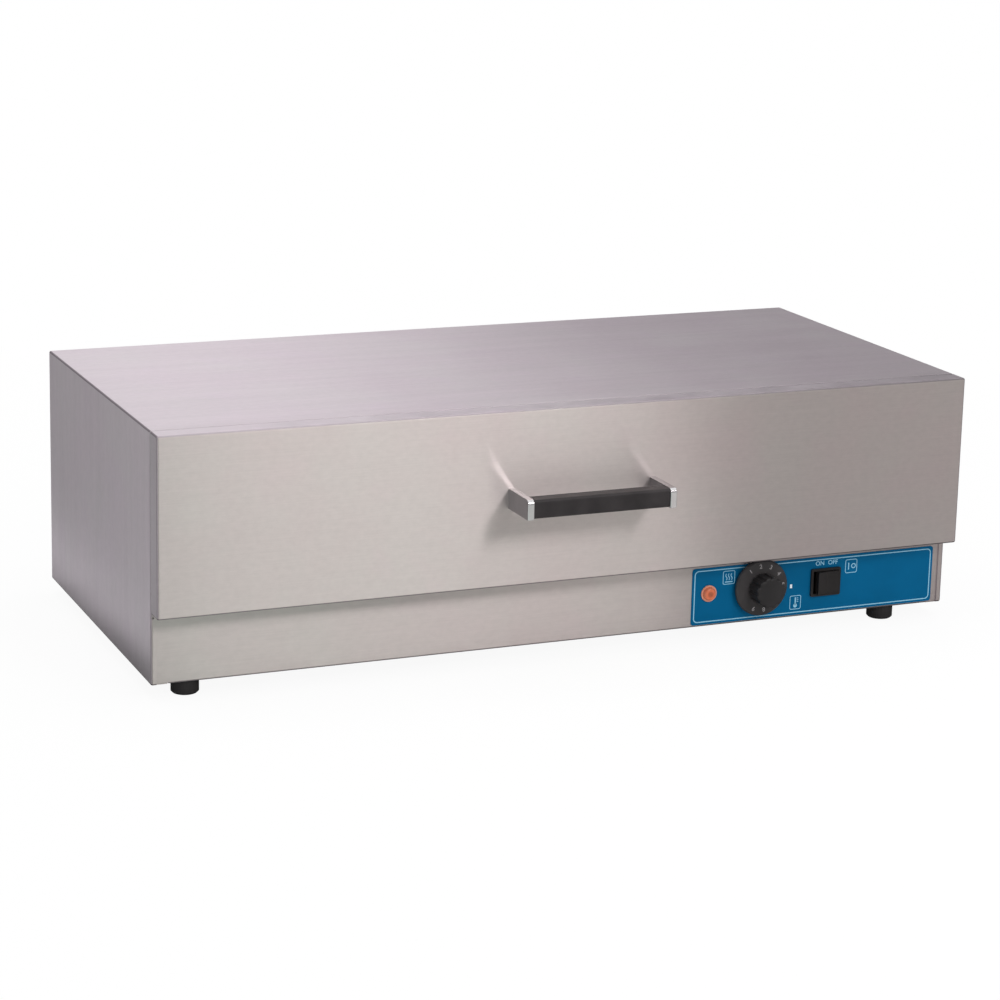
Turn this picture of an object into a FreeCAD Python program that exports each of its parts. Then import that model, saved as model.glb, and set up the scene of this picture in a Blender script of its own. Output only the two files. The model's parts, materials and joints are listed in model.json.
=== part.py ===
import FreeCAD, Part
import math
import os

Vector = FreeCAD.Vector
TOUCHING = 1e-6             # closer than this is the same place

# A countertop warming drawer: a folded stainless case on four rubber feet, with an
# insulated heated cavity, one drawer on full-extension ball slides, and the controls
# in the low space under the cavity, behind the fascia.
#
# Frame: X to the right as the user faces the drawer, Y to the rear, Z up.
# The origin is under the middle of the whole object, on the surface it stands on.

# ------------------------------------------------------------ driving sizes, in mm

# Case
CASE_WIDTH = 762.0
CASE_DEPTH = 335.0
CASE_HEIGHT = 218.0
CASE_SHEET = 1.2
BEND_RADIUS = 0.8          # inside radius of every fold
EDGE_GAP = 1.0             # from a panel's edge to the folded wall beside it
FRONT_RETURN = 5.0
RELIEF_DIAMETER = 2.4      # small round notch in each front return
RELIEF_INSET = 1.9         # its centre in from the case's side
RELIEF_DROP = 3.5          # its centre below the drawer front
REAR_FLANGE = 12.0
BOTTOM_FLANGE = 15.0
FOOT_FLANGE = 32.0         # bottom flange of the fascia and of the rear panel
TRAY_RIM = 9.0
FASCIA_HEIGHT = 62.5       # from the case's bottom to the drawer front
FASCIA_TUCK = 3.5          # how far the fascia reaches up behind the drawer front

# Cavity
LINER_SHEET = 1.0
ROOF_INSULATION = 15.8
SIDE_INSULATION = 18.3
REAR_INSULATION = 20.6
FLOOR_INSULATION = 10.0
CAVITY_FLOOR_RISE = 1.5    # cavity floor above the drawer front's lower edge
SILL_HEIGHT = 12.0
LINTEL_DROP = 4.0
LINER_FLANGE = 8.0
SOFT_GAP = 0.3             # round every blanket, seal and loose piece
WINDOW_RADIUS = 2.0

# Feet
FOOT_DIAMETER = 24.0
FOOT_HEIGHT = 13.0
FOOT_CHAMFER = 1.5
FOOT_RECESS_DIAMETER = 12.0
FOOT_RECESS_DEPTH = 7.0
FOOT_INSET_LEFT = 34.0
FOOT_INSET_RIGHT = 56.0
FOOT_INSET_FRONT = 16.0
FOOT_INSET_REAR = 17.0

# Control label and what stands on it; places are from the label's left edge
LABEL_WIDTH = 249.5
LABEL_HEIGHT = 52.8
LABEL_THICKNESS = 0.5
LABEL_RADIUS = 2.5
LABEL_RIGHT_INSET = 11.0
LABEL_RISE = 2.0
CONTROL_HEIGHT = 31.0      # centres of pilot and switch above the case's bottom
DIAL_HEIGHT = 33.0         # centre of the dial above the case's bottom
PILOT_PLACE = 16.7
DIAL_PLACE = 67.7
SWITCH_PLACE = 136.0

# Dial and thermostat
DIAL_DIAMETER = 52.0
DIAL_STANDOFF = 2.5        # back of the skirt in front of the case's front plane
SKIRT_THICKNESS = 3.5
SKIRT_BEVEL = 1.2
GRIP_DIAMETER = 28.0
GRIP_LENGTH = 18.0
GRIP_FLUTES = 12
GRIP_FLUTE_RADIUS = 2.2
GRIP_EDGE_RADIUS = 1.0
SHAFT_DIAMETER = 6.0
SHAFT_IN_GRIP = 12.0
SHAFT_IN_BODY = 18.0
THERMOSTAT_WIDTH = 44.0
THERMOSTAT_HEIGHT = 38.0
THERMOSTAT_DEPTH = 30.0
THERMOSTAT_EDGE_RADIUS = 3.0
THERMOSTAT_SCREW_SPACING = 28.0
THERMOSTAT_TAB_SPACING = 18.0
LABEL_DIAL_OPENING = 40.0
FASCIA_SHAFT_OPENING = 10.0

# Capillary and bulb
CAPILLARY_DIAMETER = 1.8
CAPILLARY_BEND = 8.0
CAPILLARY_LEAD = 14.0      # straight out of the thermostat body
BULB_DIAMETER = 6.0
BULB_LENGTH = 90.0
BULB_START = 108.0         # behind the case's front plane
BULB_WALL_GAP = 8.5        # bulb's axis to the cavity wall
BULB_RISE = 20.0
BULB_CLIP_WIDTH = 6.0
BULB_CLIP_HEIGHT = 10.0
BULB_CLIP_SPACING = 60.0

# Pilot light
PILOT_DIAMETER = 15.2
PILOT_RIM = 1.2
PILOT_DOME_DIAMETER = 12.0
PILOT_DOME_HEIGHT = 3.4
PILOT_DOME_RADIUS = 2.4
PILOT_BODY_DIAMETER = 11.8
PILOT_BODY_LENGTH = 26.0
PILOT_NUT_WIDTH = 17.0
PILOT_NUT_THICKNESS = 3.0

# Rocker switch
SWITCH_WIDTH = 30.4
SWITCH_HEIGHT = 26.0
SWITCH_BEZEL = 2.0
SWITCH_CORNER_RADIUS = 1.5
SWITCH_RIM = 2.3
SWITCH_BODY_MARGIN = 2.0   # bezel overlap over the cut-out, each side
SWITCH_BODY_DEPTH = 24.0
SWITCH_POCKET_DEPTH = 13.0
ROCKER_CLEARANCE = 0.5     # rocker's ends to the pocket
ROCKER_PROUD = 3.4         # rocker's raised corners in front of the bezel
ROCKER_DISH = 2.0
ROCKER_SHOULDER = 1.6      # how far its front corners stand in from the pocket
ROCKER_TILT = 8.0          # degrees either side of the middle
ROCKER_PIN_DIAMETER = 3.0
ROCKER_PIN_LENGTH = 1.5
ROCKER_KEEL = 4.0
PIN_FIT = 0.05             # radial clearance of a pin, shaft or screw in its hole

# Drawer front
DRAWER_SHEET = 1.0
DRAWER_FRONT_DEPTH = 19.0
DRAWER_GAP = 1.0           # between the drawer front and the case
INNER_SKIN_RECESS = 2.0
INNER_SKIN_FLANGE = 10.0
SEAL_WIDTH = 9.0
SEAL_MARGIN = 1.0          # from the opening's edge to the seal
SEAL_RADIUS = 4.0

# Handle
HANDLE_WIDTH = 140.0
HANDLE_REACH = 42.5
HANDLE_HEIGHT = 18.0
HANDLE_OFFSET = 0.75       # middle of the handle above the middle of the drawer front
END_PLATE = 6.0
END_PLATE_NOSE_RADIUS = 4.5
END_PLATE_EDGE_RADIUS = 0.6
GRIP_BAR_HEIGHT = 16.6
GRIP_BAR_DEPTH = 16.0
GRIP_BAR_SETBACK = 1.0
GRIP_BAR_RADIUS = 2.6
TENON_LENGTH = 2.5
TENON_HEIGHT = 9.0
TENON_DEPTH = 9.0
TENON_FIT = 0.1

# Slides
SLIDE_HEIGHT = 45.0
SLIDE_THICKNESS = 12.7
SLIDE_SHEET = 1.2
SLIDE_GAP = 0.3
SLIDE_RISE = 30.0          # slide's middle above the drawer rail's lower edge
SLIDE_SETBACK = 4.0
SLIDE_END_GAP = 7.0        # from the slide's rear end to the cavity's back
OUTER_LIP = 9.5
MIDDLE_LIP = 10.5
BALL_DIAMETER = 3.2
BALL_PITCH = 30.0
BALLS_PER_ROW = 5
BALL_FIT = 0.1
CAGE_SHEET = 0.6
CAGE_STRIP = 0.8
OUTER_CAGE_LIP = 7.0
INNER_CAGE_LIP = 6.6
CAGE_END = 8.0             # from the last ball to the cage's end

# Drawer frame and pan
RAIL_SHEET = 1.2
RAIL_SILL_GAP = 19.0       # from the opening's lower edge to the rail's
RAIL_ROOF_GAP = 20.0       # from the ledge's top to the cavity's roof
RAIL_END_GAP = 15.0        # from the rail's rear end to the cavity's back
RAIL_LEDGE = 13.8
RAIL_FOOT = 8.0
RAIL_TAB = 22.0
RAIL_TAB_MARGIN = 6.0
REAR_RAIL_HEIGHT = 40.0
PAN_SHEET = 0.8
PAN_SILL_GAP = 16.0        # from the opening's lower edge to the pan's underside
PAN_RIM = 13.0
PAN_SIDE_GAP = 2.5         # from the ledge's edge to the pan's wall
PAN_FRONT_GAP = 6.0
PAN_CORNER_RADIUS = 25.0
PAN_FLOOR_RADIUS = 10.0
PAN_RIM_RADIUS = 12.0

# Heating element and baffle
ELEMENT_DIAMETER = 8.0
ELEMENT_RISE = 12.0        # element's axis above the cavity floor
ELEMENT_RUNS = 4
ELEMENT_FIRST_RUN = 60.0   # behind the case's front plane
ELEMENT_LAST_RUN = 71.0    # in front of the cavity's back
ELEMENT_LEFT_INSET = 60.0
ELEMENT_RIGHT_INSET = 90.0
ELEMENT_LEG_INSET = 50.0
ELEMENT_LEG_BEND = 11.0
ELEMENT_LEG_DROP = 22.0    # leg's end below the cavity floor
ELEMENT_FIT = 0.3
TERMINAL_BEAD_DIAMETER = 7.0
TERMINAL_BEAD_LENGTH = 5.0
TERMINAL_PIN_DIAMETER = 3.0
TERMINAL_PIN_LENGTH = 6.0
SUPPORT_COUNT = 3
SUPPORT_PITCH = 200.0
SUPPORT_SHEET = 1.5
SUPPORT_HEIGHT = 18.0
SUPPORT_OVERHANG = 12.0
BAFFLE_SHEET = 1.0
BAFFLE_RISE = 20.0
BAFFLE_SIDE_GAP = 25.0     # from its legs to the cavity wall
BAFFLE_FRONT_GAP = 20.0
BAFFLE_REAR_GAP = 18.0
BAFFLE_SLOT_LENGTH = 40.0
BAFFLE_SLOT_WIDTH = 6.0
BAFFLE_COLUMNS = 9
BAFFLE_ROWS = 5
BAFFLE_COLUMN_PITCH = 68.0
BAFFLE_ROW_PITCH = 46.0

# Electrical pieces in the base
CUTOUT_DIAMETER = 16.0
CUTOUT_HEIGHT = 9.0
CUTOUT_TAB_HEIGHT = 6.0
CUTOUT_TAB_SPACING = 8.0
CUTOUT_PLACE_X = 151.0     # in from the case's right side
CUTOUT_PLACE_Y = 150.0     # behind the case's front plane
CUTOUT_WINDOW = 30.0
BLOCK_LENGTH = 44.0
BLOCK_DEPTH = 20.0
BLOCK_HEIGHT = 16.0
BLOCK_POLES = 3
BLOCK_POLE_PITCH = 13.0
BLOCK_SCREW_DIAMETER = 6.0
BLOCK_SCREW_DEPTH = 6.0
BLOCK_WIRE_DIAMETER = 4.0
BLOCK_PLACE_X = 156.0      # in from the case's right side
BLOCK_PLACE_Y = 73.0       # in front of the case's back plane
GROUND_PLACE_X = 196.0
GROUND_PLACE_Y = 50.0
GROUND_STUD_LENGTH = 15.0
GROUND_NUT_GAP = 2.0
GLAND_PLACE_X = 61.0       # in from the case's right side
GLAND_RISE = 31.0
GLAND_THREAD_DIAMETER = 16.0
GLAND_WIDTH = 24.0
GLAND_FLANGE = 5.0
GLAND_REACH = 12.0
GLAND_NOSE_DIAMETER = 19.0
GLAND_INNER_LENGTH = 12.0
GLAND_BORE_DIAMETER = 9.0
GLAND_NUT_THICKNESS = 5.0
TAB_WIDTH = 6.3
TAB_THICKNESS = 0.8
TAB_LENGTH = 8.0
WIRE_DIAMETER = 2.2
WIRE_BEND = 8.0
WIRE_JOG = 24.0            # length over which a lead drops to the terminal block
WIRE_FLOOR_GAP = 9.6       # low leads above the tray
SWITCH_LANE = 56.0         # cross lanes of the leads, behind the fascia
HEATER_LANE = 78.0
PILOT_LANE = 100.0

# Rear vents
VENT_COUNT = 8
VENT_PITCH = 14.0
VENT_WIDTH = 4.0
VENT_HEIGHT = 22.0
VENT_END_RADIUS = 1.8
VENT_RISE = 33.0
VENT_PLACE_X = 131.0       # first vent, in from the case's left side

# Fasteners
SCREW_DIAMETER = 4.0
SCREW_HEAD_DIAMETER = 7.6
SCREW_HEAD_HEIGHT = 2.4
SCREW_HEAD_ROUND = 1.0
SCREW_GRIP = 5.0           # thread beyond the last sheet
SCREW_HOLE_CLEARANCE = 0.2
DRIVE_WIDTH = 0.9
DRIVE_LENGTH = 4.2
DRIVE_DEPTH = 1.2
NUT_WIDTH = 7.0
NUT_THICKNESS = 3.2
FOOT_SCREW_END = 1.0       # thread beyond a foot's nut
REAR_SCREW_MARGIN = 40.0
REAR_SCREWS_PER_SIDE = 3
REAR_SCREWS_TOP = 3
BOTTOM_SCREWS_PER_SIDE = 3
HANDLE_SCREW_DEPTH = 12.0
SLIDE_SCREWS = 3
SLIDE_SCREW_MARGIN = 30.0
TAB_SCREW_MARGIN = 15.0
DRAWER_SCREW_GRIP = 3.0
POCKET_MARGIN = 1.5        # clearance of a blanket's pocket round a screw

# ------------------------------------------------------------ places that follow

HALF_WIDTH = CASE_WIDTH / 2
FRONT_REACH = DRAWER_GAP + DRAWER_FRONT_DEPTH + HANDLE_REACH
REAR_REACH = max(GLAND_REACH - CASE_SHEET, SCREW_HEAD_HEIGHT)
CASE_FRONT = (FRONT_REACH - CASE_DEPTH - REAR_REACH) / 2
CASE_BACK = CASE_FRONT + CASE_DEPTH
CASE_BOTTOM = FOOT_HEIGHT
CASE_TOP = CASE_BOTTOM + CASE_HEIGHT

# The frame and the fascia lie behind the case's front returns.
PANEL_FRONT = CASE_FRONT + CASE_SHEET
PANEL_BACK = PANEL_FRONT + CASE_SHEET
REAR_PANEL_BACK = CASE_BACK - CASE_SHEET
REAR_PANEL_FRONT = REAR_PANEL_BACK - CASE_SHEET
PANEL_HALF = HALF_WIDTH - CASE_SHEET - EDGE_GAP
PANEL_TOP = CASE_TOP - CASE_SHEET - EDGE_GAP
FLANGE_HALF = HALF_WIDTH - BOTTOM_FLANGE - EDGE_GAP

TRAY_BOTTOM = CASE_BOTTOM + CASE_SHEET
TRAY_TOP = TRAY_BOTTOM + CASE_SHEET

DRAWER_BOTTOM = CASE_BOTTOM + FASCIA_HEIGHT
FASCIA_TOP = DRAWER_BOTTOM + FASCIA_TUCK

CAVITY_HALF = HALF_WIDTH - CASE_SHEET - SIDE_INSULATION - LINER_SHEET
CAVITY_FLOOR = DRAWER_BOTTOM + CAVITY_FLOOR_RISE
CAVITY_ROOF = CASE_TOP - CASE_SHEET - ROOF_INSULATION - LINER_SHEET
CAVITY_FRONT = PANEL_BACK
CAVITY_BACK = REAR_PANEL_FRONT - REAR_INSULATION - LINER_SHEET
WINDOW_BOTTOM = CAVITY_FLOOR + SILL_HEIGHT
WINDOW_TOP = CAVITY_ROOF - LINTEL_DROP

DRAWER_BACK = CASE_FRONT - DRAWER_GAP
DRAWER_FACE = DRAWER_BACK - DRAWER_FRONT_DEPTH
INNER_SKIN_BACK = DRAWER_BACK - INNER_SKIN_RECESS
INNER_SKIN_FRONT = INNER_SKIN_BACK - DRAWER_SHEET

LABEL_RIGHT = HALF_WIDTH - LABEL_RIGHT_INSET
LABEL_LEFT = LABEL_RIGHT - LABEL_WIDTH
LABEL_FRONT = PANEL_FRONT - LABEL_THICKNESS
CONTROL_Z = CASE_BOTTOM + CONTROL_HEIGHT
DIAL_Z = CASE_BOTTOM + DIAL_HEIGHT
PILOT_X = LABEL_LEFT + PILOT_PLACE
DIAL_X = LABEL_LEFT + DIAL_PLACE
SWITCH_X = LABEL_LEFT + SWITCH_PLACE

RAIL_OUTSIDE = CAVITY_HALF - SLIDE_THICKNESS
RAIL_INSIDE = RAIL_OUTSIDE - RAIL_SHEET
RAIL_TOP = CAVITY_ROOF - RAIL_ROOF_GAP
RAIL_BOTTOM = WINDOW_BOTTOM + RAIL_SILL_GAP
RAIL_FRONT = INNER_SKIN_BACK + RAIL_SHEET
RAIL_BACK = CAVITY_BACK - RAIL_END_GAP
RAIL_LENGTH = RAIL_BACK - RAIL_FRONT
PAN_BOTTOM = WINDOW_BOTTOM + PAN_SILL_GAP

SLIDE_Z = RAIL_BOTTOM + SLIDE_RISE
SLIDE_FRONT = CASE_FRONT + SLIDE_SETBACK
SLIDE_BACK = CAVITY_BACK - SLIDE_END_GAP
OUTER_HALF = SLIDE_HEIGHT / 2
BALL_CHANNEL = BALL_DIAMETER + 2 * SLIDE_GAP
MIDDLE_HALF = OUTER_HALF - SLIDE_SHEET - BALL_CHANNEL
INNER_HALF = MIDDLE_HALF - SLIDE_SHEET - BALL_CHANNEL
CAGE_PITCH = CAGE_SHEET + 2 * SLIDE_GAP
MIDDLE_START = SLIDE_SHEET + CAGE_PITCH
INNER_START = MIDDLE_START + SLIDE_SHEET + CAGE_PITCH
OUTER_BALL_PLACE = SLIDE_SHEET + SLIDE_GAP + OUTER_CAGE_LIP / 2
INNER_BALL_PLACE = MIDDLE_START + SLIDE_SHEET + SLIDE_GAP + INNER_CAGE_LIP / 2

ELEMENT_Z = CAVITY_FLOOR + ELEMENT_RISE
ELEMENT_LEFT = -CAVITY_HALF + ELEMENT_LEFT_INSET
ELEMENT_RIGHT = CAVITY_HALF - ELEMENT_RIGHT_INSET
ELEMENT_LEG_X = CAVITY_HALF - ELEMENT_LEG_INSET
ELEMENT_FIRST_Y = CASE_FRONT + ELEMENT_FIRST_RUN
ELEMENT_LAST_Y = CAVITY_BACK - ELEMENT_LAST_RUN
ELEMENT_PITCH = (ELEMENT_LAST_Y - ELEMENT_FIRST_Y) / (ELEMENT_RUNS - 1)
ELEMENT_LEG_END = CAVITY_FLOOR - ELEMENT_LEG_DROP

BULB_X = CAVITY_HALF - BULB_WALL_GAP
BULB_Y = CASE_FRONT + BULB_START
BULB_Z = CAVITY_FLOOR + BULB_RISE

CUTOUT_X = HALF_WIDTH - CUTOUT_PLACE_X
CUTOUT_Y = CASE_FRONT + CUTOUT_PLACE_Y
BLOCK_X = HALF_WIDTH - BLOCK_PLACE_X
BLOCK_Y = CASE_BACK - BLOCK_PLACE_Y
GROUND_X = HALF_WIDTH - GROUND_PLACE_X
GROUND_Y = CASE_BACK - GROUND_PLACE_Y
GLAND_X = HALF_WIDTH - GLAND_PLACE_X
GLAND_Z = CASE_BOTTOM + GLAND_RISE
VENT_FIRST_X = VENT_PLACE_X - HALF_WIDTH

HANDLE_Z = (DRAWER_BOTTOM + CASE_TOP) / 2 + HANDLE_OFFSET
SCREW_RADIUS = SCREW_DIAMETER / 2
SCREW_HOLE = SCREW_RADIUS + SCREW_HOLE_CLEARANCE


# ------------------------------------------------------------ basic shapes

def around(centre, size):
    """The (low, high) span of a size set round its centre."""
    return (centre - size / 2, centre + size / 2)


def block(x, y, z):
    """A box from its (low, high) spans."""
    corner = Vector(x[0], y[0], z[0])
    return Part.makeBox(x[1] - x[0], y[1] - y[0], z[1] - z[0], corner)


def rod(axis, place, radius, span):
    """A round bar along axis; place holds the other two coordinates in X, Y, Z order."""
    starts = {
        "X": Vector(span[0], place[0], place[1]),
        "Y": Vector(place[0], span[0], place[1]),
        "Z": Vector(place[0], place[1], span[0]),
    }
    directions = {"X": Vector(1, 0, 0), "Y": Vector(0, 1, 0), "Z": Vector(0, 0, 1)}
    return Part.makeCylinder(radius, span[1] - span[0], starts[axis], directions[axis])


def hexagon(axis, place, across_flats, span):
    """A hexagonal bar along Y or Z."""
    corner = across_flats / math.sqrt(3)
    points = []
    for step in range(7):
        angle = math.radians(60 * step)
        a = place[0] + corner * math.cos(angle)
        b = place[1] + corner * math.sin(angle)
        points.append(Vector(a, span[0], b) if axis == "Y" else Vector(a, b, span[0]))
    along = Vector(0, 1, 0) if axis == "Y" else Vector(0, 0, 1)
    return Part.Face(Part.makePolygon(points)).extrude(along * (span[1] - span[0]))


def joined(shapes):
    """One solid from shapes that touch or overlap."""
    whole = shapes[0]
    for shape in shapes[1:]:
        whole = whole.fuse(shape)
    return whole.removeSplitter()


def without(shape, cutters):
    """The shape with every cutter taken out."""
    return shape.cut(Part.makeCompound(cutters)) if cutters else shape


def edges_along(shape, axis):
    """The straight edges that run along one axis."""
    found = []
    for edge in shape.Edges:
        run = edge.Vertexes[-1].Point - edge.Vertexes[0].Point
        if run.Length > 0 and abs(run.dot(axis)) > run.Length * 0.999:
            found.append(edge)
    return found


def rounded_block(x, y, z, radius):
    """A box with every edge rounded."""
    solid = block(x, y, z)
    return solid.makeFillet(radius, solid.Edges)


def rounded_plate(x, y, z, radius, axis):
    """A box with the edges that run along one axis rounded."""
    solid = block(x, y, z)
    return solid.makeFillet(radius, edges_along(solid, axis))


def folded_box(x, y, z, sheet):
    """A closed box of folded sheet; x, y and z are its outside spans."""
    outside = rounded_block(x, y, z, BEND_RADIUS + sheet)
    inside = rounded_block(
        (x[0] + sheet, x[1] - sheet),
        (y[0] + sheet, y[1] - sheet),
        (z[0] + sheet, z[1] - sheet),
        BEND_RADIUS,
    )
    return outside.cut(inside)


def folded_strip(points, sheet, place):
    """The closed outline of a folded sheet.

    points is the outer line in two coordinates, the sheet lies to its left, and place
    turns two coordinates into a point in space.
    """
    count = len(points)
    inner = []
    for i in range(count):
        before = points[max(i - 1, 0)]
        here = points[i]
        after = points[min(i + 1, count - 1)]
        normals = []
        for a, b in ((before, here), (here, after)):
            length = math.hypot(b[0] - a[0], b[1] - a[1])
            if length > 0:
                normals.append(((a[1] - b[1]) / length, (b[0] - a[0]) / length))
        nx = sum(n[0] for n in normals)
        ny = sum(n[1] for n in normals)
        scale = sheet * len(normals) / (nx * nx + ny * ny)
        inner.append((here[0] + nx * scale, here[1] + ny * scale))
    outline = list(points) + inner[::-1]
    radii = [0.0]
    for i in range(1, count - 1):
        a, b, c = points[i - 1], points[i], points[i + 1]
        turn = (b[0] - a[0]) * (c[1] - b[1]) - (b[1] - a[1]) * (c[0] - b[0])
        radii.append(BEND_RADIUS + sheet if turn > 0 else BEND_RADIUS)
    radii.append(0.0)
    inner_radii = [2 * BEND_RADIUS + sheet - r if r else 0.0 for r in radii]
    return rounded_outline(outline, radii + inner_radii[::-1], place)


def rounded_outline(points, radii, place):
    """A flat face from a closed polygon with a radius at each corner."""
    edges = []
    ends = []
    count = len(points)
    for i in range(count):
        before = place(*points[i - 1])
        here = place(*points[i])
        after = place(*points[(i + 1) % count])
        if radii[i] == 0:
            ends.append((here, here))
            continue
        to_before = (before - here).normalize()
        to_after = (after - here).normalize()
        half_angle = to_before.getAngle(to_after) / 2
        tangent = radii[i] / math.tan(half_angle)
        middle = (to_before + to_after).normalize() * (radii[i] / math.sin(half_angle) - radii[i])
        start = here + to_before * tangent
        end = here + to_after * tangent
        edges.append(Part.Arc(start, here + middle, end).toShape())
        ends.append((start, end))
    for i in range(count):
        start = ends[i - 1][1]
        end = ends[i][0]
        if (end - start).Length > TOUCHING:
            edges.append(Part.LineSegment(start, end).toShape())
    return Part.Face(Part.Wire(Part.__sortEdges__(edges)))


def tube(points, bends, radius):
    """A round tube along straight runs; bends holds the arc's radius at each inner point."""
    edges = []
    start = points[0]
    for here, before, after, bend in zip(points[1:], points, points[2:], bends):
        to_before = (before - here).normalize()
        to_after = (after - here).normalize()
        half_angle = to_before.getAngle(to_after) / 2
        tangent = bend / math.tan(half_angle)
        middle = (to_before + to_after).normalize() * (bend / math.sin(half_angle) - bend)
        arc_start = here + to_before * tangent
        arc_end = here + to_after * tangent
        if (arc_start - start).Length > TOUCHING:
            edges.append(Part.LineSegment(start, arc_start).toShape())
        edges.append(Part.Arc(arc_start, here + middle, arc_end).toShape())
        start = arc_end
    edges.append(Part.LineSegment(start, points[-1]).toShape())
    ring = Part.Wire(Part.makeCircle(radius, points[0], points[1] - points[0]))
    return Part.Wire(edges).makePipeShell([ring], True, False)


# ------------------------------------------------------------ fasteners

def screw(seat, direction, length):
    """A pan-head screw: its head's underside is at seat and its thread runs along direction."""
    head = Part.makeCylinder(SCREW_HEAD_DIAMETER / 2, SCREW_HEAD_HEIGHT,
                             Vector(0, 0, -SCREW_HEAD_HEIGHT))
    rim = [e for e in head.Edges if abs(e.BoundBox.ZMax + SCREW_HEAD_HEIGHT) < TOUCHING]
    head = head.makeFillet(SCREW_HEAD_ROUND, rim)
    drive_z = (-SCREW_HEAD_HEIGHT, DRIVE_DEPTH - SCREW_HEAD_HEIGHT)
    slot = around(0, DRIVE_WIDTH)
    reach = around(0, DRIVE_LENGTH)
    head = without(head, [block(slot, reach, drive_z), block(reach, slot, drive_z)])
    shank = Part.makeCylinder(SCREW_RADIUS, length)
    solid = joined([head, shank])
    solid.Placement = FreeCAD.Placement(seat, FreeCAD.Rotation(Vector(0, 0, 1), direction))
    return solid


def nut(axis, place, span):
    """A hexagon nut on a screw's thread."""
    ring = hexagon(axis, place, NUT_WIDTH, span)
    return ring.cut(rod(axis, place, SCREW_RADIUS + PIN_FIT, span))


def spread(low, high, count):
    """Evenly spread places from low to high."""
    return [low + (high - low) * i / (count - 1) for i in range(count)]


def rear_screw_places():
    """X and Z of the screws through the case's rear flanges."""
    side_x = HALF_WIDTH - REAR_FLANGE / 2
    top_z = CASE_TOP - REAR_FLANGE / 2
    side_z = spread(CASE_BOTTOM + REAR_SCREW_MARGIN, CASE_TOP - REAR_SCREW_MARGIN,
                    REAR_SCREWS_PER_SIDE)
    top_x = spread(REAR_SCREW_MARGIN - HALF_WIDTH, HALF_WIDTH - REAR_SCREW_MARGIN, REAR_SCREWS_TOP)
    places = [(side * side_x, z) for side in (-1, 1) for z in side_z]
    return places + [(x, top_z) for x in top_x]


def bottom_screw_places():
    """X and Y of the screws up through the case's bottom flanges."""
    side_x = HALF_WIDTH - BOTTOM_FLANGE / 2
    side_y = spread(CASE_FRONT + REAR_SCREW_MARGIN, CASE_BACK - REAR_SCREW_MARGIN,
                    BOTTOM_SCREWS_PER_SIDE)
    return [(side * side_x, y) for side in (-1, 1) for y in side_y]


def foot_places():
    """Name, X and Y of each foot."""
    left = -HALF_WIDTH + FOOT_INSET_LEFT
    right = HALF_WIDTH - FOOT_INSET_RIGHT
    front = CASE_FRONT + FOOT_INSET_FRONT
    rear = CASE_BACK - FOOT_INSET_REAR
    return [
        ("foot_front_left", left, front),
        ("foot_front_right", right, front),
        ("foot_rear_left", left, rear),
        ("foot_rear_right", right, rear),
    ]


def foot_holes():
    """Cutters for the foot screws through the bottom sheets."""
    return [rod("Z", (x, y), SCREW_HOLE, (0, CASE_TOP / 2)) for name, x, y in foot_places()]


# ------------------------------------------------------------ case

def outer_wrap():
    """Top and two sides in one folded sheet, with returns at the front, back and bottom."""
    x = (-HALF_WIDTH, HALF_WIDTH)
    y = (CASE_FRONT, CASE_BACK)
    z = (CASE_BOTTOM, CASE_TOP)
    shell = folded_box(x, y, z, CASE_SHEET)
    front_half = HALF_WIDTH - FRONT_RETURN
    rear_half = HALF_WIDTH - REAR_FLANGE
    floor_half = HALF_WIDTH - BOTTOM_FLANGE
    cutters = [
        block((-front_half, front_half), (CASE_FRONT - EDGE_GAP, PANEL_FRONT + EDGE_GAP),
              (CASE_BOTTOM - EDGE_GAP, CASE_TOP - FRONT_RETURN)),
        block((-rear_half, rear_half), (REAR_PANEL_BACK - EDGE_GAP, CASE_BACK + EDGE_GAP),
              (CASE_BOTTOM - EDGE_GAP, CASE_TOP - REAR_FLANGE)),
        block((-floor_half, floor_half), (CASE_FRONT - EDGE_GAP, CASE_BACK + EDGE_GAP),
              (CASE_BOTTOM - EDGE_GAP, TRAY_BOTTOM + EDGE_GAP)),
    ]
    for px in around(0, CASE_WIDTH - 2 * RELIEF_INSET):
        cutters.append(rod("Y", (px, DRAWER_BOTTOM - RELIEF_DROP), RELIEF_DIAMETER / 2,
                           (CASE_FRONT - EDGE_GAP, PANEL_FRONT)))
    for px, pz in rear_screw_places():
        cutters.append(rod("Y", (px, pz), SCREW_HOLE, (REAR_PANEL_FRONT, CASE_BACK)))
    for px, py in bottom_screw_places():
        cutters.append(rod("Z", (px, py), SCREW_HOLE, (CASE_BOTTOM, TRAY_TOP)))
    return without(shell, cutters)


def lower_corners(half, y):
    """The ends of a panel's lower edge, from its bottom flange to the wrap's return, which
    reaches in to half."""
    z = (TRAY_BOTTOM + SOFT_GAP, TRAY_TOP + EDGE_GAP)
    return [block(x, y, z) for x in ((-half, -FLANGE_HALF), (FLANGE_HALF, half))]


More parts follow.
